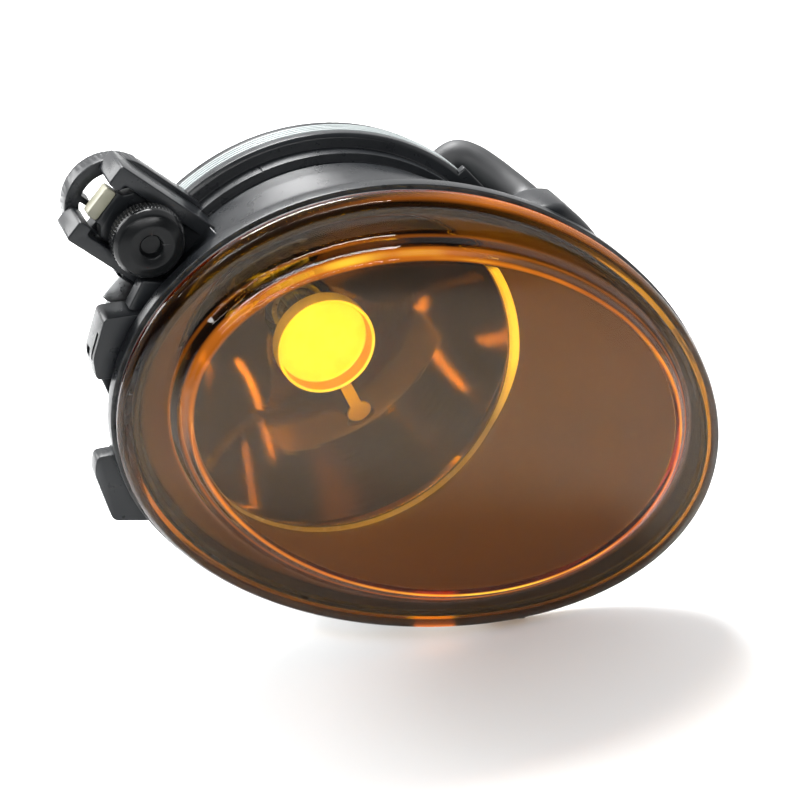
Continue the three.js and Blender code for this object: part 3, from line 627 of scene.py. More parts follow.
def build_lens():
    """Domed window, stepped ring and skirt; painted light is emitted in the thick edges of the plastic,
    and painted shade darkens the flange and skirt.
    """
    def dome(offset, y, scale):
        return tagged(oval(WINDOW, offset, y - WINDOW_BULGE * (1 - scale * scale), scale), 0)

    def stepped(outline, steps):
        return [tagged(oval(outline, grow, y), *look) for grow, y, *look in steps]

    crown = [dome(0, WINDOW_FRONT, scale) for scale in DOME_SCALES]
    ring_end = oval(WINDOW, RING_STEPS[-1][0], FLANGE_DIP)
    skirt_start = oval(LENS, SKIRT_STEPS[0][0], FLANGE_DIP)
    # painted shade on the flange
    flange = tagged(mix(ring_end, skirt_start, 0.5), FLANGE_PAINTED_SHADE)
    skirt = stepped(LENS, SKIRT_STEPS)
    # painted light in a patch of the skirt under the lens
    for point in (point for loop in skirt[1:] for point in loop):
        if PAINTED_NOTCH_SPAN[0] < point.x < PAINTED_NOTCH_SPAN[1] and point.z < LENS["z"]:
            point[3] = PAINTED_NOTCH_LIGHT
    inside = [tagged(oval(*step), 0) for step in INSIDE_STEPS]
    back = [dome(-1, WINDOW_FRONT + LENS_THICKNESS, scale) for scale in reversed(DOME_SCALES)]
    steps = [crown[-1], *stepped(WINDOW, RING_STEPS), flange, *skirt, *inside, back[0]]
    lens = loft([*crown[:-1], *soften(steps, LENS_ROUNDING, False, 4), *back[1:]], False)
    finish_piece(lens, "lens_shell", "lens", AMBER, sharp=60)


def build_lens_seal():
    outer, inner = -0.3, -2.2
    front, back = SKIRT_END + 0.3, FLANGE_FRONT - 0.3
    corners = ((outer, front), (outer, back), (inner, back), (inner, front))
    seal = loft(soften([oval(LENS, grow, y) for grow, y in corners], 0.3, True), True)
    finish_piece(seal, "lens_sealing_ring", "lens_seal", RUBBER)


# ---- front housing
def housing_skin():
    """The oval flange that runs back into the round drum, with a groove, a band and a flange."""
    groove = DRUM_RADIUS - 0.4
    flange = [oval(LENS, grow, y) for grow, y in (
        (FLANGE_LIP, FLANGE_FRONT), (FLANGE_LIP, FLANGE_BACK), (-0.8, FLANGE_BACK + 0.8))]
    body = [mix(oval(LENS, -1, y), drum_circle(DRUM_RADIUS, y), share) for y, share in SKIN_STEPS]
    drum = [drum_circle(r, y) for r, y in (
        (DRUM_RADIUS, DRUM_START), (groove, DRUM_START + 0.3), (groove, BAND_START - 0.1),
        (BAND_RADIUS, BAND_START), (BAND_RADIUS, REAR_FLANGE_START),
        (REAR_FLANGE_RADIUS - 0.9, REAR_FLANGE_START + 0.1),
        (REAR_FLANGE_RADIUS, REAR_FLANGE_START + 0.9), (REAR_FLANGE_RADIUS, REAR_FLANGE_END))]
    loops = soften([oval(LENS, -20, FLANGE_FRONT), *flange], 0.35, False)[:-1]
    loops += soften([flange[-1], *body, drum[0]], 1.6, False, 4)
    loops += soften(drum[1:], 0.3, False)
    centre = pole(LENS["x"], FLANGE_FRONT, LENS["z"])
    return loft([centre, *loops, pole(0, REAR_FLANGE_END, 0)], False)


def housing_hollow():
    front, back = FLANGE_FRONT - 1, REAR_FLANGE_END + 1
    loops = [oval(LENS, -LENS_THICKNESS, front), oval(LENS, -LENS_THICKNESS, FLANGE_BACK + 0.5)]
    loops += [mix(oval(LENS, -3.6, y), drum_circle(DRUM_BORE, y), share) for y, share in HOLLOW_STEPS]
    loops += [drum_circle(DRUM_BORE, y) for y in (DRUM_START - 0.5, back)]
    return loft([pole(LENS["x"], front, LENS["z"]), *loops, pole(0, back, 0)], False)


def loop_plate(front, back, root, edge):
    """The arm's plate from x = root outward; it ends in a round loop with a stub."""
    start = -90 if root < LOOP_CENTRE else -math.degrees(math.acos((root - LOOP_CENTRE) / LOOP_RADIUS))
    outline = arc(LOOP_RADIUS, start, -start, LOOP_CENTRE)
    if root < LOOP_CENTRE:
        outline = [(root, -LOOP_RADIUS), *outline, (root, LOOP_RADIUS)]
    plate = prism(outline, front, back, "y")
    inner = LOOP_RADIUS - LOOP_BAND
    stub_tip = LOOP_CENTRE + inner - 3.4
    hole = arc(inner, -82, 16, LOOP_CENTRE)
    hole += [(stub_tip, 2.4), (stub_tip, 3.8)]
    hole += arc(inner, 27, 82, LOOP_CENTRE, steps=10)
    combine(plate, [prism(hole, front - 1, back + 1, "y")], "DIFFERENCE")
    return bevel(plate, edge)


def arm_pieces():
    """The loop with its raised pad, the channel's two hooked walls, the root and the clip's lug."""
    pieces = [loop_plate(LOOP_FRONT, LOOP_BACK, ARM_ROOT, 0.45)]
    pieces.append(loop_plate(LOOP_BACK - 1, PAD_BACK, PAD_START, 0.2))
    for side in (-1, 1):
        wall = [(x, side * z) for x, z in (
            (ARM_ROOT, WALL_INNER), (HOOK_START, WALL_INNER), (HOOK_START, HOOK_INNER),
            (WALL_END, HOOK_INNER), (WALL_END, WALL_OUTER), (ARM_ROOT, WALL_OUTER))]
        pieces.append(bevel(prism(rounded(wall, 0.95), WALL_FRONT, LOOP_FRONT + 1, "y"), 0.35))
    start, corner, end = (DRUM_RADIUS - 1, NECK_FRONT), (52.5, 25.5), (61, NECK_BACK)
    neck = [(ARM_ROOT, NECK_FRONT), start, *curve_points(start, corner, end), (ARM_ROOT, NECK_BACK)]
    half = WALL_OUTER - 0.5
    pieces.append(bevel(prism(neck, -half, half, "z"), 1.2, 4, 50))
    pieces.append(bevel(block(ARM_ROOT, LUG_END, LUG_FRONT, LUG_BACK, WALL_OUTER - 1, LUG_SIDE), 0.4))
    return [turned(piece, BRACKET_ANGLE) for piece in pieces]


def arm_cuts():
    """The spindle's hole and two slots in the arm, and the band's moulding seam."""
    through = (LOOP_FRONT - 1, LOOP_BACK + 1)
    cuts = [rod(SPINDLE_BORE, *through, KNOB_CENTRE, cut=0), block(58.4, 59.9, *through, -5.6, -2.2),
            block(65.5, 68.2, *through, 4.6, 6.6)]
    seam = block(BAND_RADIUS - 0.3, BAND_RADIUS + 1, BAND_START - 1, REAR_FLANGE_START - 0.2, -0.2, 0.2)
    return [*[turned(cut, BRACKET_ANGLE) for cut in cuts], turned(seam, SEAM_ANGLE)]


def tab_pieces():
    """Tabs, gusset, foot and hump, drawn from the front, and the rounded shoulder."""
    upper = [(-60.2, 24.4), (-63.7, 14), (-63.2, 8.4), (-50, 8), (-44, 24.4)]
    pad = [(-61.4, 19.6), (-62.8, 14), (-62.2, 9.2), (-54.5, 9.2), (-54.5, 19.6)]
    gusset = [(-62, 9), (-52, 9), (-52, -8), (-58, -3)]
    lower = [(-64.6, -12.4), (-65.4, -17), (-61.6, -31), (-46, -34), (-50, -12.4)]
    foot = [(36.5, -70), (36.5, -80.6), (49.5, -82.6), (49.5, -68)]
    hump = [(33, 31), (35.4, 38.6), (37.6, 40.2), (43.4, 40.4), (47.6, 36.6), (44, 30)]
    bridge = [(-54, 25), (-50, 32), (-42, 30), (-46, 22)]
    layers = [(rounded(upper, 1.3), 10, 19), (pad, 18.5, 19.4), (rounded(gusset, 0.5), 12.5, 18.5),
              (rounded(lower, 1.5), 9.6, 14.4), (rounded(foot, 0.9), 6.5, 10.5),
              (rounded(hump, 1.6), 9.4, 17), (rounded(bridge, 1), 12, 16)]
    pieces = [bevel(prism(outline, low, high, "y"), 0.3) for outline, low, high in layers]
    shoulder = [(46.5, 31.5), *curve_points((46.5, 31.5), (52.5, 36), (58, 34.5)),
                *curve_points((58, 34.5), (66.5, 27.5), (72.6, 15.2)), (60, 11.5), (43, 27)]
    lump = prism(grown(shoulder, 2.3), 8.5, 24.5, "y")
    return [*pieces, bevel(lump, 3.2, 6, 40)]


def grown(outline, amount):
    """A 2-D outline pushed outward by amount, corner by corner."""
    points = [Vector(p) for p in outline]
    edges = [(point - points[i - 1]).normalized() for i, point in enumerate(points)]
    normals = [Vector((edge.y, -edge.x)) for edge in edges]
    area = sum(points[i - 1].cross(point) for i, point in enumerate(points))
    side = 1 if area > 0 else -1
    result = []
    for i, point in enumerate(points):
        before, after = normals[i] * side, normals[(i + 1) % len(points)] * side
        outward = (before + after).normalized()
        result.append(point + outward * amount / max(0.5, outward.dot(before)))
    return result


def ear(radius, y0, y1, angle, cut=0.4):
    """A boss of one ear, or the screw hole through it."""
    x, z = polar(EAR_RADIUS, angle)
    return rod(radius, y0, y1, x, z, cut=cut)


def ear_web(root, y0, y1, angle):
    """The plate that joins an ear to its housing."""
    return turned(bevel(block(root, EAR_RADIUS, y0, y1, -EAR_WEB, EAR_WEB), 0.3), angle)


def build_front_housing():
    body = housing_skin()
    add = arm_pieces() + tab_pieces()
    tab_slots = [block(-65, -60.8, 11.4, 12.8, 13, 20), block(-65, -61.4, 14.6, 17.4, 12.6, 15)]
    cuts = arm_cuts() + tab_slots
    for angle in EAR_ANGLES:
        add.append(ear(EAR_BOSS, EAR_FRONT, EAR_END, angle))
        add.append(ear_web(DRUM_RADIUS - 1, REAR_FLANGE_START + 0.05, REAR_FLANGE_END - 0.05, angle))
        cuts.append(ear(EAR_HOLE, EAR_FRONT - 1.5, EAR_END + 1.5, angle, cut=0))
    saddle = block(REAR_FLANGE_RADIUS - 2, HOSE_SADDLE_RADIUS, REAR_FLANGE_START + 0.15,
                   REAR_FLANGE_END - 0.15, -5.5, 5.5)
    add.append(turned(bevel(saddle, 0.5), HOSE_SADDLE_ANGLE))
    combine(body, add, "UNION")
    combine(body, [*cuts, housing_hollow()], "DIFFERENCE")
    bosses = [rod(BEZEL_BOSS, BEZEL_BOSS_FRONT, BEZEL_BOSS_END, x, z) for x, z in BEZEL_SCREWS]
    combine(body, bosses, "UNION")
    holes = [rod(BEZEL_HOLE, 10, BEZEL_BOSS_END + 1, x, z, cut=0) for x, z in BEZEL_SCREWS]
    combine(body, holes, "DIFFERENCE")
    finish_piece(body, "front_shell", "front_housing", BLACK)


# ---- optics
def polar_radius(loop, angle):
    """How far a loop lies from the optical axis in one direction."""
    best = 0.0
    ray = Vector((math.cos(angle), math.sin(angle)))
    for i, p in enumerate(loop):
        a, b = Vector((loop[i - 1].x, loop[i - 1].z)), Vector((p.x, p.z))
        edge = b - a
        cross = ray.x * edge.y - ray.y * edge.x
        if abs(cross) < PARALLEL:
            continue
        along = (a.x * edge.y - a.y * edge.x) / cross
        share = (a.x * ray.y - a.y * ray.x) / cross
        if along > 0 and 0 <= share <= 1:
            best = max(best, along)
    return best


def build_bezel():
    """The dark tray behind the lens, with a rounded mouth round the reflector; painted shade darkens its
    walls.
    """
    angles = [i / OVAL_STEPS * math.tau for i in range(OVAL_STEPS)]
    inner, outer = ([polar_radius(oval(LENS, grow, 0), a) for a in angles] for grow in (-6.6, -4.2))
    mouth_radius = 44.4

    def ring(radii, y, painted_light_shade):
        points = [Vector((r * math.cos(a), y, r * math.sin(a))) for r, a in zip(radii, angles)]
        return tagged(points, painted_light_shade)

    def shifted(amount):
        return [r + amount for r in inner]

    def mouth(grow):
        return [min(mouth_radius + grow, r - 0.9 + min(grow, 0.5)) for r in inner]

    # 1: painted shade on the walls; 0: floor and mouth
    loops = [ring(outer, BEZEL_FRONT, 1), ring(shifted(1.0), BEZEL_FRONT, 1),
             ring(inner, BEZEL_FLOOR - 0.2, 1), ring(shifted(-1.2), BEZEL_FLOOR, 0),
             ring(mouth(2.2), BEZEL_FLOOR, 0), ring(mouth(0.6), BEZEL_FLOOR + 0.4, 0),
             ring(mouth(0), BEZEL_BACK, 0), ring(outer, BEZEL_BACK, 0)]
    tray = loft(soften(loops, 0.5, True, 4), True)
    finish_piece(tray, "bezel_tray", "inner_bezel", BEZEL)


def build_lip():
    """The bevelled rim of the bezel's mouth, which is wide only on the right; a painted highlight and
    emitted painted light brighten it there, and faintly all along its lower half.
    """
    wide_from, wide_to, taper = 33, -5, 24
    lower_painted_light = 0.2
    profile = ((44.25, 10.2, 0), (44.4, 8.9, 0.3), (44.55, 8.2, 1.5), (44.7, 8.5, 1.7), (44.7, 10.2, 0))

    def share(angle):
        rise = (wide_from - angle) / 3
        fall = 1 - (wide_to - angle) / taper
        return max(0.0, min(1.0, rise, fall))

    def ring(radius, y, width):
        points = []
        for p in circle(radius, y, steps=2 * ROUND_STEPS):
            amount = share(math.degrees(math.atan2(p.z, p.x)))
            grow = 1 + width * amount / radius
            least = lower_painted_light if p.z < 0 else 0.0
            points.append(Vector((p.x * grow, y, p.z * grow, least + (1 - least) * amount)))
        return points

    lip = loft(soften([ring(*step) for step in profile], 0.12, True), True)
    finish_piece(lip, "reflector_lip", None, PAINTED_HIGHLIGHT_LIP)


def build_reflector():
    """A paraboloid with a neck for the bulb; painted shade darkens its neck and back."""
    wall, steps = 1.6, 30
    neck, neck_outer, neck_end = 9.5, 11.1, 55.5
    rim, rim_front, rim_back = 46, 10.6, 12.4

    def bowl(r):
        return REFLECTOR_VERTEX - r * r / (4 * FOCUS)

    radii = [REFLECTOR_RIM - i * (REFLECTOR_RIM - neck) / steps for i in range(steps + 1)]
    back = [(neck, bowl(neck)), (neck, neck_end), (neck_outer, neck_end),
            (neck_outer, bowl(neck_outer) + wall)]
    back += [(min(r + 1.1, rim - 1), bowl(r) + wall) for r in reversed(radii[:28:3])]
    back += [(rim, rim_back), (rim, rim_front)]
    # 0 on the bowl; 1, painted shade, on the neck and back
    loops = [tagged(circle(r, bowl(r)), 0) for r in radii[:-1]]
    loops += [tagged(circle(r, y), 1) for r, y in back]
    reflector = loft(soften(loops, 0.25, True), True)
    finish_piece(reflector, "reflector_bowl", "reflector", MIRROR)


def build_shield():
    """The cup in front of the bulb, the stem that holds it and the rivet between them."""
    floor, front, outer, inner = 30.1, 25.4, 13.1, 12.2
    # third numbers: 1 is painted shade on the cup's inner wall and back
    profile = [(0, floor - 0.25, 0), (5, floor - 0.1, 0), (11.4, floor, 0), (11.9, floor - 0.1, 0),
               (inner, floor - 0.5, 1), (inner, front + 0.4, 1), (inner + 0.1, front, 0),
               (outer, front, 0), (outer, floor + 0.4, 0), (12.3, floor + 1.2, 1), (0, floor + 1.2, 1)]
    loops = [tagged(circle(r, y), shade) for r, y, shade in profile]
    cup = loft(soften(loops, 0.3, False), False)
    finish_piece(cup, "shield_cup", "bulb_shield", SHIELD)
    half, face, pad_at = 1.6, 31.6, 26.1
    side = [(7, face), (26, face), (27, 31.8), (28.8, 32.5), (28.2, 33.2), (26, 32.6), (7, 32.6)]
    stem = bevel(prism(rounded(side, 0.2, 2), -half, half, "z"), 0.15, 2)
    oblong = [(pad_at + x, 1.3 * z) for x, z in arc(2.6, 0, 360)[:-1]]
    combine(stem, [bevel(prism(oblong, face, face + 1.1, "y"), 0.3, 3)], "UNION")
    turned(stem, STEM_ANGLE)
    finish_piece(stem, "shield_arm", "shield_stem", REFLECTION_PAINTED_METAL)
    x, z = polar(9.6, STEM_ANGLE)
    rivet = turn([(0, 32.9), (1.4, 32.9), (1.4, 33.2), (0.8, 33.6), (0, 33.6)], x, z, SMALL_STEPS, 0.15)
    finish_piece(rivet, "shield_rivet_head", "shield_rivet", REFLECTION_PAINTED_METAL)


def build_screw(name, node, x, z, tip, seat, shank):
    """A pan-head screw with a cross recess and a plain shank."""
    head, recess_long, recess_short = 3, 1.9, 0.38
    screw = turn([(0, tip), (shank * 0.6, tip), (shank, tip + 0.8), (shank, seat), (head, seat),
                  (head, seat + 1), (2.2, seat + 1.9), (0, seat + 2.2)], x, z, SMALL_STEPS, 0.2)
    slots = [block(x - w, x + w, seat + 1.1, seat + 3, z - h, z + h)
             for w, h in ((recess_short, recess_long), (recess_long, recess_short))]
    combine(screw, slots, "DIFFERENCE")
    finish_piece(screw, name, node, STEEL)


def build_bezel_screws():
    for i, (x, z) in enumerate(BEZEL_SCREWS, 1):
        build_screw(f"bezel_fixing_{i}", f"bezel_screw_{i}", x, z, BEZEL_BOSS_FRONT - 0.4,
                    BEZEL_BOSS_END + 0.3, BEZEL_HOLE - 0.3)


def build_housing_screws():
    for i, angle in enumerate(EAR_ANGLES, 1):
        x, z = polar(EAR_RADIUS, angle)
        build_screw(f"housing_fixing_{i}", f"housing_screw_{i}", x, z, EAR_FRONT + 2.5,
                    REAR_START + 3.7, EAR_HOLE - 0.4)


# ---- rear of the lamp
def build_seal():
    outer, inner, ribs = REAR_FLANGE_RADIUS + 0.1, 51, 4
    valley = outer - 0.45
    pitch = (SEAL_END - SEAL_START) / ribs
    profile = [(inner, SEAL_START)]
    for i in range(ribs):
        y = SEAL_START + i * pitch
        profile += [(valley, y), (outer, y + 0.25 * pitch), (outer, y + 0.75 * pitch)]
    profile += [(valley, SEAL_END), (inner, SEAL_END)]
    finish_piece(turn(profile, cut=0.12), "ribbed_seal", "housing_seal", SEAL)


def build_rear_housing():
    """A ribbed bowl with a neck for the bulb, four ears and the hose's nipple."""
    y = REAR_START
    shell = turn([
        (49.4, y), (REAR_RADIUS, y), (REAR_RADIUS, y + 3), (52, y + 4), (50.6, y + 7.5), (46, y + 12),
        (36, y + 17.6), (21.5, y + 21.5), (REAR_NECK_RADIUS, y + 23), (REAR_NECK_RADIUS, REAR_NECK_END),
        (REAR_NECK_BORE, REAR_NECK_END), (REAR_NECK_BORE, y + 19.5), (34.6, y + 15.2), (44, y + 10),
        (48, y + 6), (49.4, y + 3)], cut=1.0)
    add = []
    cuts = []
    for angle in EAR_ANGLES:
        add.append(ear(EAR_BOSS, y - 2, y + 3.4, angle))
        add.append(ear_web(52, y + 0.2, y + 3, angle))
        cuts.append(ear(EAR_HOLE, y - 3, y + 5, angle, cut=0))
    rib = [(19, y + 21), (35.5, y + 16.6), (49, y + 7.5), (51, y + 3.5), (53.2, y + 3.5), (51.8, y + 7.2),
           (47.5, y + 14.2), (36, y + 20.2), (19, y + 24)]
    add += [turned(bevel(prism(rib, -0.8, 0.8, "z"), 0.25, 2), angle) for angle in RIB_ANGLES]
    nipple = rod(2.1, NIPPLE_END - 8, NIPPLE_END, cut=0.3)
    nipple.data.transform(Matrix.Translation((0, NIPPLE_Y, 0)) @ Matrix.Rotation(-math.pi / 2, 4, "Z"))
    add.append(turned(nipple, NIPPLE_ANGLE))
    combine(shell, add, "UNION")
    combine(shell, cuts, "DIFFERENCE")
    finish_piece(shell, "rear_shell", "rear_housing", BLACK)


def catmull_rom(points, steps):
    """A smooth run through points, with steps between each pair."""
    points = [Vector(p) for p in points]
    padded = [points[0] * 2 - points[1], *points, points[-1] * 2 - points[-2]]
    path = []
    for i in range(1, len(padded) - 2):
        a, b, c, d = padded[i - 1:i + 3]
        for k in range(steps):
            t = k / steps
            path.append(0.5 * (2 * b + (c - a) * t + (2 * a - 5 * b + 4 * c - d) * t * t
                               + (3 * b - a - 3 * c + d) * t ** 3))
    return [*path, points[-1]]


def tube(path, radius, steps=32):
    """A closed round bar along a path, its frame carried along without twist."""
    angles = [k / steps * math.tau for k in range(steps)]
    loops = []
    normal = None
    for i, point in enumerate(path):
        ahead = (path[min(i + 1, len(path) - 1)] - path[max(i - 1, 0)]).normalized()
        if normal is None:
            normal = ahead.orthogonal()
        normal = (normal - ahead * normal.dot(ahead)).normalized()
        side = ahead.cross(normal)
        loops.append([point + (normal * math.cos(a) + side * math.sin(a)) * radius for a in angles])
    return loft([pole(*path[0], steps), *loops, pole(*path[-1], steps)], False)


def build_hose():
    """From the nipple over the saddle into the shoulder."""
    x, z = polar(NIPPLE_END + 0.6, NIPPLE_ANGLE)
    route = [(x, NIPPLE_Y, z), (43.4, 46.6, 38), (47, 44.4, 37.2), (50.2, 41, 35.2),
             (53.2, 36.6, 32.9), (55.8, 31, 30.8), (56.6, 26.4, 29.8)]
    hose = tube(catmull_rom(route, 8), HOSE_RADIUS)
    finish_piece(hose, "breather_hose", "vent_hose", RUBBER, sharp=50)


def build_collar():
    """The ring in the rear neck that holds the bulb, with three bayonet slots."""
    outer, bore, lip_bore = 16.6, 14.9, 12.6
    front, lip, back = 56.8, 61.9, 63.5
    ring = turn([(bore, front), (outer, front), (outer, back), (lip_bore, back), (lip_bore, lip),
                 (bore, lip)])
    slots = [turned(block(11, bore, 61, 64, -3, 3), angle + BULB_TWIST) for angle in BAYONET_ANGLES]
    combine(ring, slots, "DIFFERENCE")
    finish_piece(ring, "bayonet_collar", "bulb_collar", BLACK)


def build_speed_nut():
    """Sheet steel folded round the lug, its free end bent back."""
    start, end, front, back, sheet = 54.4, 61, 19.5, 24.9, 0.8
    side = [(start, front), (end, front), (end, back), (start + 1.6, back), (start, back + 1.7),
            (start - 0.6, back + 1.1), (start + 1.2, back - sheet), (end - sheet, back - sheet),
            (end - sheet, front + sheet), (start, front + sheet)]
    clip = bevel(prism(rounded(side, 0.5, 3), 12.4, 19, "z"), 0.12, 2)
    turned(clip, BRACKET_ANGLE)
    finish_piece(clip, "folded_clip", "speed_nut", STEEL)


# ---- adjuster
def at_knob(obj):
    """From its own axis to the adjuster's place on the arm."""
    obj.data.transform(Matrix.Translation((KNOB_CENTRE, 0, 0)))
    return turned(obj, BRACKET_ANGLE)


def build_knob():
    """A knob with a dished face, a knurled rim and a blind bore for the spindle."""
    steps, teeth, depth = 360, 60, 0.28
    knurl = (KNOB_FRONT + 3.6, KNOB_BACK - 0.3)
    bore_end = KNOB_BACK - 2.6
    face = [(0, 2.6), (2.5, 2.6), (2.8, 0.5), (5.4, 0), (8, 0.9), (KNOB_RADIUS - 0.25, 2.6)]

    def knurled(y):
        waves = [0.5 + 0.5 * math.cos(i / steps * math.tau * teeth) for i in range(steps)]
        loop = circle(KNOB_RADIUS, 0, steps=steps)
        cut = [p * (1 - depth / KNOB_RADIUS * wave) for p, wave in zip(loop, waves)]
        return [Vector((p.x, y, p.z)) for p in cut]

    loops = [circle(r, KNOB_FRONT + y, steps=steps) for r, y in face]
    loops.append(circle(KNOB_RADIUS - 0.2, knurl[0] - 0.2, steps=steps))
    loops += [knurled(y) for y in knurl]
    loops += [circle(r, y, steps=steps) for r, y in (
        (KNOB_RADIUS - 0.5, KNOB_BACK), (SPINDLE_BORE, KNOB_BACK), (SPINDLE_BORE, bore_end),
        (0, bore_end))]
    knob = loft(soften(loops, 0.4, False), False)
    finish_piece(at_knob(knob), "knurled_knob", "adjuster_knob", KNOB, "adjuster", sharp=45)


def build_spindle():
    """A threaded pin with a groove for the circlip."""
    low, high = KNOB_BACK - 2.3, LOOP_BACK + 3.4
    root, crest, groove = SPINDLE_RADIUS - 0.35, SPINDLE_RADIUS - 0.02, 2.3
    slices = 180

    def radius(y, angle):
        if LOOP_BACK + 0.5 < y < LOOP_BACK + 2:
            return groove
        if y > LOOP_BACK:
            return min(SPINDLE_RADIUS - 0.1, groove + (high - y))
        turn_share = (y / THREAD_PITCH - angle / math.tau) % 1.0
        return root + (crest - root) * (1 - abs(2 * turn_share - 1))

    angles = [i / SMALL_STEPS * math.tau for i in range(SMALL_STEPS)]
    levels = [low + (high - low) * k / slices for k in range(slices + 1)]
    loops = [[Vector((radius(y, a) * math.cos(a), y, radius(y, a) * math.sin(a))) for a in angles]
             for y in levels]
    pin = loft([pole(0, low, 0, SMALL_STEPS), *loops, pole(0, high, 0, SMALL_STEPS)], False)
    finish_piece(at_knob(pin), "threaded_spindle", "adjuster_spindle", STEEL, "adjuster")


def build_washer_and_clip():
    radius, front, back = 6.4, 16.5, 17.3
    washer = turn([(SPINDLE_BORE, front), (radius, front), (radius, back), (SPINDLE_BORE, back)],
                  steps=SMALL_STEPS, cut=0.15)
    finish_piece(at_knob(washer), "plain_washer", "adjuster_washer", STEEL, "adjuster")
    opening, outer, inner = 26, 4.8, 2.6
    ring = arc(outer, opening, 360 - opening, steps=40) + arc(inner, 360 - opening, opening, steps=30)
    clip = bevel(prism(ring, LOOP_BACK + 0.8, LOOP_BACK + 1.7, "y"), 0.12, 2)
    finish_piece(at_knob(clip), "retaining_clip", "adjuster_circlip", STEEL, "adjuster")


def build_nut():
    """The sliding nut and its pale end."""
    wide, narrow, start, shoulder, end, tip_end = 7.1, 4.6, -5.5, 7, 10.5, 13.6
    outline = [(start, -wide), (shoulder, -wide), (9, -narrow), (end, -narrow), (end, narrow),
               (9, narrow), (shoulder, wide), (start, wide)]
    nut = prism(rounded(outline, 0.6), NUT_FRONT, NUT_BACK, "y")
    combine(nut, [rod(SPINDLE_BORE, NUT_FRONT - 1.5, NUT_BACK + 1.5, cut=0)], "DIFFERENCE")
    bevel(nut, 0.35)
    finish_piece(at_knob(nut), "nut_carrier", "adjuster_nut", BLACK, "nut")
    start, half = end + 0.1, 4.2
    outline = rounded([(start, -half), (tip_end, -half), (tip_end, half), (start, half)], 0.9)
    tip = bevel(prism(outline, NUT_FRONT, NUT_BACK, "y"), 0.35)
    finish_piece(at_knob(tip), "nylon_tip", "adjuster_nut", NYLON, "nut")


# ---- bulb
def build_glass():
    tip, r, end, wall = BULB_TIP, BULB_RADIUS, 57, 0.9
    glass = turn([(0, tip), (2.8, tip + 0.5), (4.8, tip + 2.2), (r, tip + 5), (r, end), (r - wall, end),
                  (r - wall, tip + 5.2), (4.1, tip + 3), (2.4, tip + 1.4), (0, tip + 1)],
                 steps=2 * SMALL_STEPS, cut=0.8)
    finish_piece(glass, "bulb_envelope", "bulb_glass", GLASS, "bulb", sharp=60)


def build_filament():
    """A coil along the axis and the two leads that hold it."""
    turns, length, coil, start, wire_radius = 9, 4.2, 0.72, 36.8, 0.17
    per_turn = 16
    angles = [i / per_turn * math.tau for i in range(turns * per_turn + 1)]
    helix = [Vector((coil * math.cos(a), start + length * a / (turns * math.tau), coil * math.sin(a)))
             for a in angles]
    coiled = tube(helix, wire_radius, 8)
    finish_piece(coiled, "coiled_filament", "bulb_filament", TUNGSTEN, "bulb", 60)
    for name, node, x, y in (("lead_wire_long", "filament_lead_long", 1.9, 36.7),
                             ("lead_wire_short", "filament_lead_short", -1.9, 41.5)):
        wire = [(x * 0.45, y, 0), (x * 0.8, y + 0.1, 0), (x, y + 0.6, 0), (x, 50, 0), (x, 58.2, 0)]
        finish_piece(tube(catmull_rom(wire, 6), 0.38, 12), name, node, STEEL, "bulb", 60)


def build_bulb_rings():
    """The metal skirt round the glass and the rubber ring behind the bayonet."""
    bore, front, back = 5.9, 50, 58.2
    skirt = turn([(bore, front), (7.4, front), (7.4, 56.4), (8.6, 57.4), (8.6, back), (bore, back)],
                 steps=2 * SMALL_STEPS, cut=0.25)
    finish_piece(skirt, "metal_skirt", "bulb_skirt", STEEL, "bulb")
    bore, front, back = 12.5, 63.8, 65.5
    ring = turn([(bore, front), (14.2, front), (14.6, 64.6), (14.2, back), (bore, back)],
                steps=2 * SMALL_STEPS, cut=0.4)
    finish_piece(ring, "bulb_sealing_ring", "bulb_seal_ring", RUBBER, "bulb")


def build_bulb_base():
    """The turning base with its bayonet lugs, and the plug socket that hangs from it."""
    base = turn([(0, SOCKET_FRONT), (12.2, SOCKET_FRONT), (12.2, 65.8), (15.5, 65.8), (15.5, 68.2),
                 (11.5, 69), (11.5, 78), (10, 79.4), (0, 79.4)], steps=128, cut=0.35)
    socket = block(-11, 11, 68.6, 79, -30, -4)
    mouth = block(-8.8, 8.8, 70.6, 77, -31, -16)
    latch = block(-3, 3, 78, 81, -27, -20)
    lugs = [turned(bevel(block(10, 14.4, 59, 61.4, -2.6, 2.6), 0.3), angle) for angle in BAYONET_ANGLES]
    ribs = [bevel(block(x - 0.7, x + 0.7, 78, 79.8, -28, 6), 0.3) for x in (-8, 8)]
    combine(base, [bevel(socket, 0.9, 4), *lugs, bevel(latch, 0.4), *ribs], "UNION")
    combine(base, [bevel(mouth, 0.5)], "DIFFERENCE")
    finish_piece(base, "socket_body", "bulb_base", SOCKET, "bulb")
    for i, x in enumerate((-4, 4), 1):
        blade = bevel(block(x - 1.4, x + 1.4, 73.4, 74.2, -27, -16.3), 0.2, 2)
        finish_piece(blade, f"terminal_blade_{i}", f"bulb_terminal_{i}", BRASS, "bulb")


# ---- studio
def camera_back():
    azimuth, elevation = math.radians(CAMERA_AZIMUTH), math.radians(CAMERA_ELEVATION)
    return Vector((math.sin(azimuth) * math.cos(elevation), -math.cos(azimuth) * math.cos(elevation),
                   math.sin(elevation)))


def build_camera():
    back = camera_back()
    camera = bpy.data.objects.new("camera", bpy.data.cameras.new("camera"))
    bpy.context.scene.collection.objects.link(camera)
    camera.location = TO_ROW @ (Vector(CAMERA_AIM) + back * CAMERA_DISTANCE)
    camera.rotation_mode = "QUATERNION"
    camera.rotation_quaternion = (-back).to_track_quat("-Z", "Y")
    camera.data.lens = CAMERA_LENS
    camera.data.shift_x, camera.data.shift_y = CAMERA_SHIFT
    camera.data.clip_start, camera.data.clip_end = CAMERA_CLIP
    bpy.context.scene.camera = camera


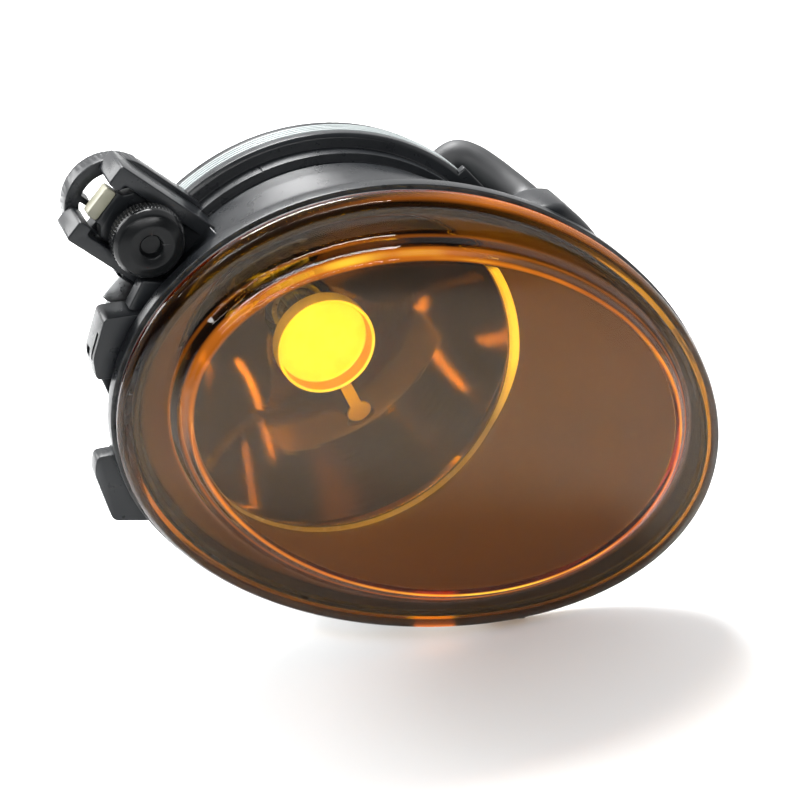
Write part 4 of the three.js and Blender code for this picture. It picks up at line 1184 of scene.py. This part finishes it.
def build_floor():
    low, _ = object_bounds()
    half = FLOOR_SIZE / 2
    corners = [(-half, -half), (half, -half), (half, half), (-half, half)]
    mesh = bpy.data.meshes.new("floor")
    mesh.from_pydata([(x, y, low[2]) for x, y in corners], [], [(0, 1, 2, 3)])
    floor = bpy.data.objects.new("floor", mesh)
    bpy.context.scene.collection.objects.link(floor)
    floor.data.materials.append(FLOOR)
    floor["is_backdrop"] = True


def aimed(name, data, place, target):
    """Puts a lamp at a place measured from its target and turns it towards the target."""
    light = bpy.data.objects.new(name, data)
    bpy.context.scene.collection.objects.link(light)
    light.location = target + Vector(place)
    light.rotation_mode = "QUATERNION"
    light.rotation_quaternion = (-Vector(place)).to_track_quat("-Z", "Y")


def build_softbox(name, place, width, height, power):
    """A soft oblong lamp that looks at the middle of the object."""
    low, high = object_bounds()
    data = bpy.data.lights.new(name, "AREA")
    data.shape = "RECTANGLE"
    data.size, data.size_y = width, height
    data.energy = power
    aimed(name, data, place, (low + high) / 2)


def build_spot(name, place, radius, power):
    """A narrow lamp in front that lights only the bulb shield."""
    low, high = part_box("bulb_shield")
    data = bpy.data.lights.new(name, "SPOT")
    data.energy = power
    data.shadow_soft_size = 0.02
    data.spot_size = 2 * math.atan2(radius, Vector(place).length)
    data.spot_blend = 0.3
    aimed(name, data, place, (Vector(low) + Vector(high)) / 2)


def build_world():
    """White all round, but dim towards the side from which the lamp is seen."""
    world = bpy.data.worlds.new("studio")
    world.use_nodes = True
    bpy.context.scene.world = world
    tree = world.node_tree
    tree.nodes.clear()
    direction = output_of(tree, "TexCoord", "Generated", {})
    towards = output_of(tree, "VectorMath", "Value", {0: direction, 1: camera_back()},
                        operation="DOT_PRODUCT")
    strength = output_of(tree, "MapRange", "Result", {
        "From Min": DARK_STARTS, "From Max": DARK_FULL, "To Min": SURROUND_STRENGTH,
        "To Max": FRONT_STRENGTH, "Value": towards}, interpolation_type="SMOOTHSTEP")
    seen = output_of(tree, "LightPath", "Is Camera Ray", {})
    strength = output_of(tree, "Mix", "Result", {"A": strength, "B": 1.0, "Factor": seen})
    background = output_of(tree, "Background", 0, {"Strength": strength})
    output = tree.nodes.new("ShaderNodeOutputWorld")
    fill(tree, output, {"Surface": background})


build_camera()
build_lens()
build_lens_seal()
build_front_housing()
build_bezel()
build_lip()
build_reflector()
build_shield()
build_bezel_screws()
build_seal()
build_rear_housing()
build_housing_screws()
build_hose()
build_collar()
build_speed_nut()
build_knob()
build_spindle()
build_washer_and_clip()
build_nut()
build_glass()
build_filament()
build_bulb_rings()
build_bulb_base()
build_world()
build_floor()
for name, (place, width, height, power) in SOFTBOXES.items():
    build_softbox(name, place, width, height, power)
build_spot("shield_spot", SPOT_PLACE, SPOT_RADIUS, SPOT_POWER)
bpy.context.scene.view_settings.view_transform = "Standard"
